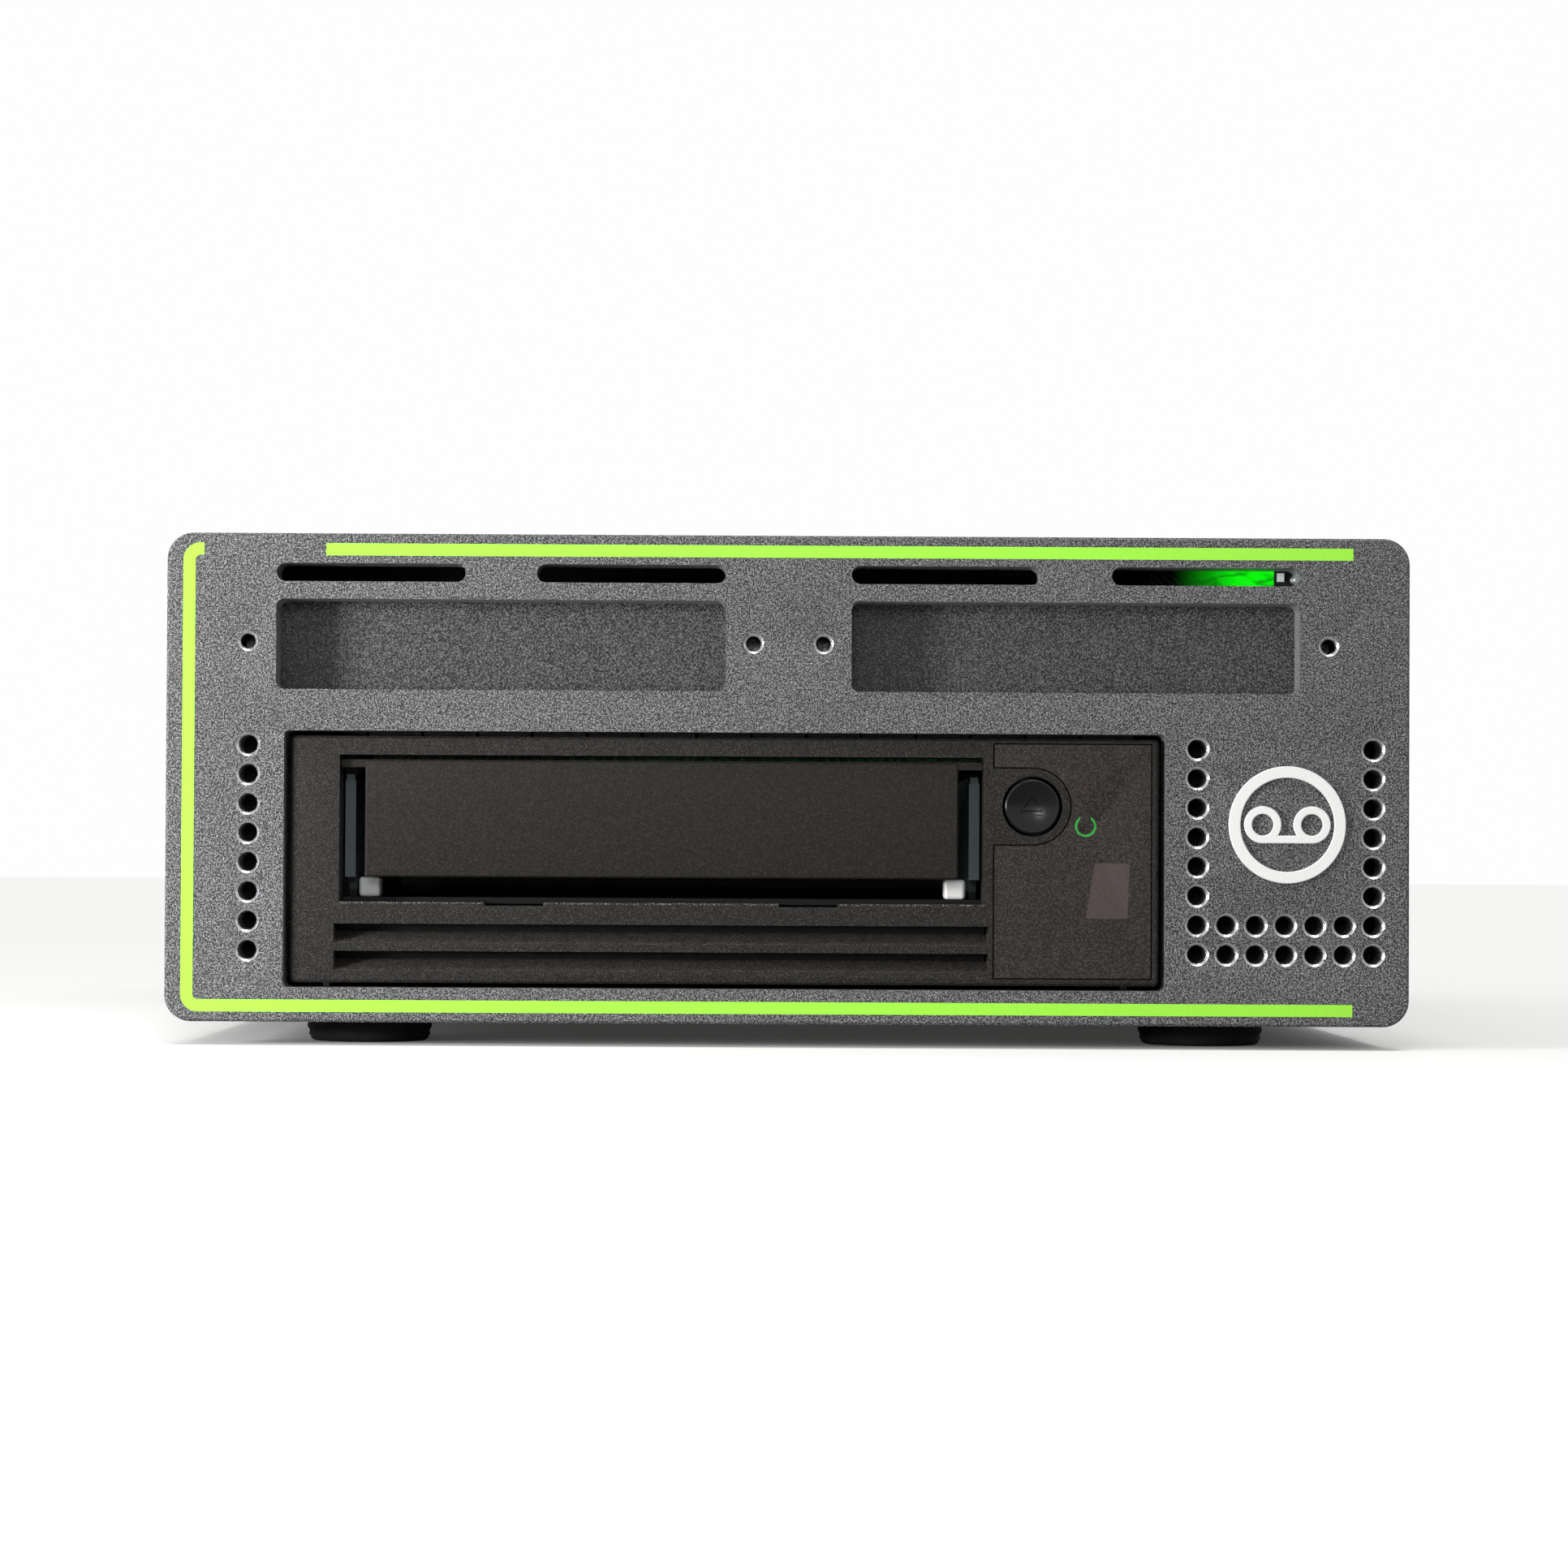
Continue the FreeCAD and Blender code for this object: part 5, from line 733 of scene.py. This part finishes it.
def addSprings():
    # each finger bows forward: y = front - bow * sin(share of its height * pi)
    low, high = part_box("drive_bezel")
    bottom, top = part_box("drive_lid")[1].z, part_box("bay_deck")[1].z
    start, end = low.x + spring["end"] * mm, high.x - spring["end"] * mm
    front = panelLow.y + spring["front"] * mm
    pitch = (end - start) / spring["fingers"]
    share = np.linspace(0, 1, spring["steps"])[:, None]
    parts = []
    for number in range(spring["fingers"]):
        left = start + pitch * number
        x = np.array([left, left + pitch - spring["slit"] * mm])[None, :]
        y = front - spring["bow"] * mm * np.sin(share * math.pi)
        z = bottom + (top - bottom - spring["short"] * mm) * share
        finger = np.stack(np.broadcast_arrays(x, y, z), -1)
        parts.append(slab(finger, finger + (0, spring["thick"] * mm, 0)))
    addPiece("gap_springs", *joined(parts), "chassis_steel")
    # black rubber gasket behind the fingers, whose black is also painted shade for the dark space behind
    # them
    look, level = spring["gasket"], (bottom + top) / 2
    points, faces = ribbon([(start, level), (end, level)], top - bottom - look["short"] * mm,
                           look["thick"] * mm, front + look["behind"] * mm)
    addPiece("gap_gasket", points, faces, "foot_rubber")


addSprings()


# dark gauze at the back of the two air slots under the mouth; its black is also painted shade for the
# inside behind them

grille = {"low": 4.0, "high": 5.45, "pitch": 4.65, "front": 7.4, "thick": 0.4, "left": 0.8, "right": 1.2}


def addGauze():
    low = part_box("drive_bezel")[0]
    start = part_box("cartridge_door")[0].x + grille["left"] * mm
    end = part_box("status_window")[0].x - grille["right"] * mm
    parts = []
    for number in (0, 1):
        level = low.z + ((grille["low"] + grille["high"]) / 2 + grille["pitch"] * number) * mm
        parts.append(ribbon([(start, level), (end, level)], (grille["high"] - grille["low"]) * mm,
                            grille["thick"] * mm, low.y + grille["front"] * mm))
    addPiece("grille_gauze", *joined(parts), "foot_rubber")


addGauze()


# dark gauze behind the vents; its black is also painted shade for the inside behind them

vent = {"gap": 1.2, "thick": 0.3, "left": (-96.5, -87.0), "right": (66.0, 100.5), "level": (8.5, 51.0)}


def addVentGauze():
    low, high = (panelLow.z + level * mm for level in vent["level"])
    level = (low + high) / 2
    back = panelHigh.y + (vent["gap"] + vent["thick"]) * mm
    parts = [ribbon([(start * mm, level), (end * mm, level)], high - low, vent["thick"] * mm, back)
             for start, end in (vent["left"], vent["right"])]
    addPiece("vent_gauze", *joined(parts), "foot_rubber")


addVentGauze()
print("springs and gauzes made")


# nylon shoes inside the front corners of the tray

shoe = {"out": 2.8, "wide": 3.6, "tall": 3.4, "round": 0.6, "segments": 4}


def block(low, high):
    # the eight corners of a box and its six faces
    x, y, z = np.meshgrid(*zip(low, high), indexing="ij")
    points = np.stack([x, y, z], -1).reshape(-1, 3)
    return points, [[0, 1, 3, 2], [4, 6, 7, 5], [0, 4, 5, 1], [2, 3, 7, 6], [0, 2, 6, 4], [1, 5, 7, 3]]


def addShoes():
    low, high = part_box("tray_shoes")
    out, inner, top = shoe["out"] * mm, (shoe["out"] + shoe["wide"]) * mm, low.z + shoe["tall"] * mm
    parts = [block((low.x + out, low.y, low.z), (low.x + inner, high.y, top)),
             block((high.x - inner, low.y, low.z), (high.x - out, high.y, top))]
    piece = addPiece("tray_nylon_shoes", *joined(parts), "nylon", "loader")
    addBevel(piece, shoe["round"], shoe["segments"])
    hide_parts("tray_shoes")


addShoes()


# folded lips on the front edges of the tray's walls

lip = {"start": 0.45, "wide": 1.8, "thick": 0.5, "foot": 4.6, "rise": 1.2}


def addLips():
    low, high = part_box("loader_tray")
    bottom, top = low.z + lip["foot"] * mm, high.z - lip["rise"] * mm
    offset = (lip["start"] + lip["wide"] / 2) * mm
    parts = [ribbon([(x, bottom), (x, top)], lip["wide"] * mm, lip["thick"] * mm, low.y)
             for x in (low.x + offset, high.x - offset)]
    addPiece("tray_lips", *joined(parts), "tray_steel", "loader")


addLips()
print("shoes and lips made")


# threads in the four bay screw holes, each closed at its back by a disc

thread = {"pitch": 0.45, "depth": 0.14, "turns": 40, "steps": 110, "inset": 0.62, "disc": 0.3}


def addThreads():
    # r = bore - depth * triangle(distance / pitch - turn): a helix inside each hole
    angle = np.linspace(0, 2 * math.pi, thread["turns"], endpoint=False)[None, :]
    along = np.linspace(thread["inset"] * mm, panelHigh.y - panelLow.y, thread["steps"])[:, None]
    wave = np.abs(((along / (thread["pitch"] * mm) - angle / (2 * math.pi)) % 1) * 2 - 1)
    back = panelHigh.y - thread["disc"] * mm
    parts = []
    for mount in frame["record"]["mounts"]:
        if mount["kind"] != "bolt_pattern":
            continue
        middle, _, level = mount["pos_m"]
        apart, bore = (mount["dims"][name] * mm for name in ("spacing_x_mm", "hole_r_mm"))
        radius = bore - thread["depth"] * mm * wave
        for x in (middle - apart / 2, middle + apart / 2):
            points = np.stack(np.broadcast_arrays(x + radius * np.cos(angle), panelLow.y + along,
                                                  level + radius * np.sin(angle)), -1)
            parts.append((points, gridFaces(thread["steps"], thread["turns"], True)))
            rim = np.stack(np.broadcast_arrays(x + bore * np.cos(angle), back,
                                               level + bore * np.sin(angle)), -1)
            centre = np.broadcast_to((x, back, level), rim.shape)
            parts.append((np.concatenate([rim, centre]), gridFaces(2, thread["turns"], True)))
    addPiece("bay_threads", *joined(parts), "screw_steel")


addThreads()


# screws: a pan head with a cross recess on its shank

screwLook = {"turns": 72, "rings": 26, "cross": 0.16, "arm": 0.56, "sink": 0.5, "slope": 0.1,
             # share of the head's height that is rounded, rise of its middle, bevel at the shank's tip
             "round": 0.45, "dome": 0.1, "tip": 0.3}
# node, then axis of its screws, reach of one screw, head's width and height, shank's width
screwRows = {"cover_screws": ("x", 10, 5.5, 1.8, 3.0), "fan_screws": ("y", 20, 5.5, 1.8, 3.0),
             "foot_screws": ("-z", 20, 5.5, 1.8, 3.0), "supply_screws": ("-z", 20, 5.5, 1.8, 3.0)}


def screwSurface(head, height, shank, length):
    # profile from the shank's tip to the middle of a domed head; the cross is sunk into its top
    look = screwLook
    half, core, corner = head / 2, shank / 2, height * look["round"]
    bend = np.linspace(0, math.pi / 2, 7)
    top = np.linspace(half - corner, 0, look["rings"])
    dome = height + look["dome"] * (1 - (top / half) ** 2)
    radii = np.concatenate([[0, core - look["tip"], core, core, half, half],
                            half - corner * (1 - np.cos(bend)), top[1:]])
    rise = np.concatenate([[-length, -length, -length + look["tip"], 0, 0, height * 0.5],
                           height - corner + corner * np.sin(bend), dome[1:]])
    points, faces = turned(radii, rise, look["turns"])
    x, y = np.abs(points[..., 0]), np.abs(points[..., 1])
    arm, width = look["arm"] * half, look["cross"] * half
    cross = np.maximum(np.minimum(width - x, arm - y), np.minimum(width - y, arm - x))
    sunk = np.clip(cross / look["slope"] + 0.5, 0, 1) * look["sink"] * height
    points[..., 2] -= np.where(points[..., 2] > height * 0.9, sunk, 0)
    return points, faces


def addScrews(node, axis, reach, head, height, shank):
    index = "xyz".index(axis[-1])
    others = [other for other in range(3) if other != index]
    parts = []
    for number, (low, high) in enumerate(solidPlaces(node, reach * mm)):
        middle = (low + high) / 2
        # the heads of the cover's screws face outwards on both sides
        sign = -1 if axis == "-z" or (axis == "x" and middle[0] < 0) else 1
        whole = (high - low)[index] / mm
        points, faces = screwSurface(head, height, shank, whole - height)
        turn = math.radians(37 * number + 12)                # so that no two crosses stand alike
        across = points[..., 0] * math.cos(turn) - points[..., 1] * math.sin(turn)
        along = points[..., 0] * math.sin(turn) + points[..., 1] * math.cos(turn)
        seat = (high if sign > 0 else low)[index] - sign * height * mm
        placed = np.empty_like(points)
        placed[..., index] = seat + sign * points[..., 2] * mm
        placed[..., others[0]] = middle[others[0]] + across * mm
        placed[..., others[1]] = middle[others[1]] + along * mm
        parts.append((placed, faces))
    piece = addPiece(node + "_turned", *joined(parts), "screw_steel")
    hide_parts(node)


for node, row in screwRows.items():
    addScrews(node, *row)


# rubber feet with a rounded tread, a ribbed side and a hollow for the screw's head

foot = {"round": 1.0, "ribs": 3, "ribDepth": 0.22, "taper": 1.1, "bore": 1.7,
        "hollow": {"radius": 4.5, "deep": 2.75, "bevel": 0.3}}


def addFeet():
    # side radius = wide - taper * share left to the top - rib depth * (1 - cos) / 2
    hollow, corner = foot["hollow"], foot["round"]
    bend = np.radians(np.linspace(-90, 0, 9))
    parts = []
    for low, high in solidPlaces("feet", 30 * mm):
        x, y = (low[0] + high[0]) / 2, (low[1] + high[1]) / 2
        tall, wide = (high[2] - low[2]) / mm, (high[0] - low[0]) / 2 / mm
        side = np.linspace(corner, tall, 30)
        ribs = foot["ribDepth"] * (0.5 - 0.5 * np.cos((side - corner) / (tall - corner)
                                                     * foot["ribs"] * 2 * math.pi))
        taper = (tall - side) / tall * foot["taper"]
        tread = wide - foot["taper"] - corner
        radii = np.concatenate([[foot["bore"], hollow["radius"], hollow["radius"],
                                 hollow["radius"] + hollow["bevel"]],
                                tread + corner * np.cos(bend), wide - taper - ribs,
                                [foot["bore"], foot["bore"]]])
        rise = np.concatenate([[hollow["deep"], hollow["deep"], hollow["bevel"], 0.0],
                               corner * (1 + np.sin(bend)), side, [tall, hollow["deep"]]])
        points, faces = turned(radii, rise, 96)
        parts.append((points * mm + (x, y, low[2]), faces))
    piece = addPiece("rubber_feet", *joined(parts), "foot_rubber")
    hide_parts("feet")


addFeet()
print("threads, screws and feet made")


# floor, light and camera

studio = {"ambient": 0.52, "sun": 1.2, "sunTurn": (12, 0, 10), "sunSoft": 30,
          # the paper's tones and its glow as the camera sees them, and its grey as the object sees it
          "floor": 6.0, "paper": ((252, 252, 251), (254, 254, 253)), "lift": (56, 56, 55), "bounce": 0.36,
          "aim": (-0.02, -0.156, 0.05),
          "side": {"power": 1.9, "size": 0.09, "place": (-0.34, -0.36, 0.07)},
          "key": {"power": 0.62, "size": 0.13, "place": (-0.05, -0.95, 0.2)}}


def addFloor():
    reach = studio["floor"]
    mesh = bpy.data.meshes.new("floor")
    mesh.from_pydata([(-reach, -reach, 0), (reach, -reach, 0), (reach, reach, 0), (-reach, reach, 0)],
                     [], [(0, 1, 2, 3)])
    floor = bpy.data.objects.new("floor", mesh)
    bpy.context.scene.collection.objects.link(floor)
    paper = Finish("paper", tone(250, 250, 249), 0.9, Specular_IOR_Level=0.0)
    # the camera sees white paper; what it throws back at the object is weaker
    seen = Value(paper, paper.node("ShaderNodeLightPath").outputs["Is Camera Ray"])
    white = paper.mix(paper.noise(0.4, 1.0), *(tone(*shade) for shade in studio["paper"]))
    paper.set("Base Color", paper.mix(seen, (studio["bounce"],) * 3 + (1,), white))
    paper.set("Emission Color", paper.mix(seen, tone(0, 0, 0), tone(*studio["lift"])))
    paper.set("Emission Strength", 1.0)
    mesh.materials.append(paper.material)


def addWorld():
    # a plain sky on the object, and white where the camera or a reflection sees it
    world = bpy.data.worlds.new("studio")
    bpy.context.scene.world = world
    world.use_nodes = True
    tree = world.node_tree
    path = tree.nodes.new("ShaderNodeLightPath")
    seen = path.outputs["Is Camera Ray"]
    for ray in ("Is Glossy Ray", "Is Transmission Ray"):
        either = tree.nodes.new("ShaderNodeMath")
        either.operation = "MAXIMUM"
        tree.links.new(seen, either.inputs[0])
        tree.links.new(path.outputs[ray], either.inputs[1])
        seen = either.outputs[0]
    strength = tree.nodes.new("ShaderNodeMapRange")
    strength.inputs["To Min"].default_value = studio["ambient"]
    strength.inputs["To Max"].default_value = 1.0
    tree.links.new(seen, strength.inputs["Value"])
    sky = tree.nodes["Background"]
    sky.inputs["Color"].default_value = (0.99, 0.99, 0.985, 1)
    tree.links.new(strength.outputs[0], sky.inputs["Strength"])


def addLights():
    sun = bpy.data.lights.new("sky", "SUN")
    sun.energy = studio["sun"]
    sun.angle = math.radians(studio["sunSoft"])
    holder = bpy.data.objects.new("sky", sun)
    holder.rotation_euler = [math.radians(turn) for turn in studio["sunTurn"]]
    bpy.context.scene.collection.objects.link(holder)
    for name in ("side", "key"):
        look = studio[name]
        lamp = bpy.data.lights.new(name, "AREA")
        lamp.energy = look["power"]
        lamp.size = look["size"]
        holder = bpy.data.objects.new(name, lamp)
        holder.location = look["place"]
        aim = Vector(studio["aim"]) - holder.location
        holder.rotation_euler = aim.to_track_quat("-Z", "Y").to_euler()
        holder.visible_camera = False
        bpy.context.scene.collection.objects.link(holder)


# place in mm, turn, rise and roll in degrees
camera = {"place": (-9.29, -866.47, 31.68), "turn": 0.172, "up": 1.065, "roll": 0.301,
          "lens": 95.75, "shift": 0.0243}


def addCamera():
    made = bpy.data.cameras.new("camera")
    made.lens = camera["lens"]
    made.sensor_width = 36
    made.shift_x = camera["shift"]
    made.clip_start = 0.01
    holder = bpy.data.objects.new("camera", made)
    turn, up, roll = (math.radians(camera[name]) for name in ("turn", "up", "roll"))
    forward = Vector((math.sin(turn) * math.cos(up), math.cos(turn) * math.cos(up), math.sin(up)))
    right = Vector((math.cos(turn), -math.sin(turn), 0))
    above = right.cross(forward)
    across = right * math.cos(roll) + above * math.sin(roll)
    above = above * math.cos(roll) - right * math.sin(roll)
    axes = Matrix((across, above, -forward)).transposed().to_4x4()
    holder.matrix_world = Matrix.Translation(Vector(camera["place"]) * mm) @ axes
    bpy.context.scene.collection.objects.link(holder)
    bpy.context.scene.camera = holder


addFloor()
addWorld()
addLights()
addCamera()
bpy.context.scene.view_settings.view_transform = "Standard"
print("floor, lights and camera set")
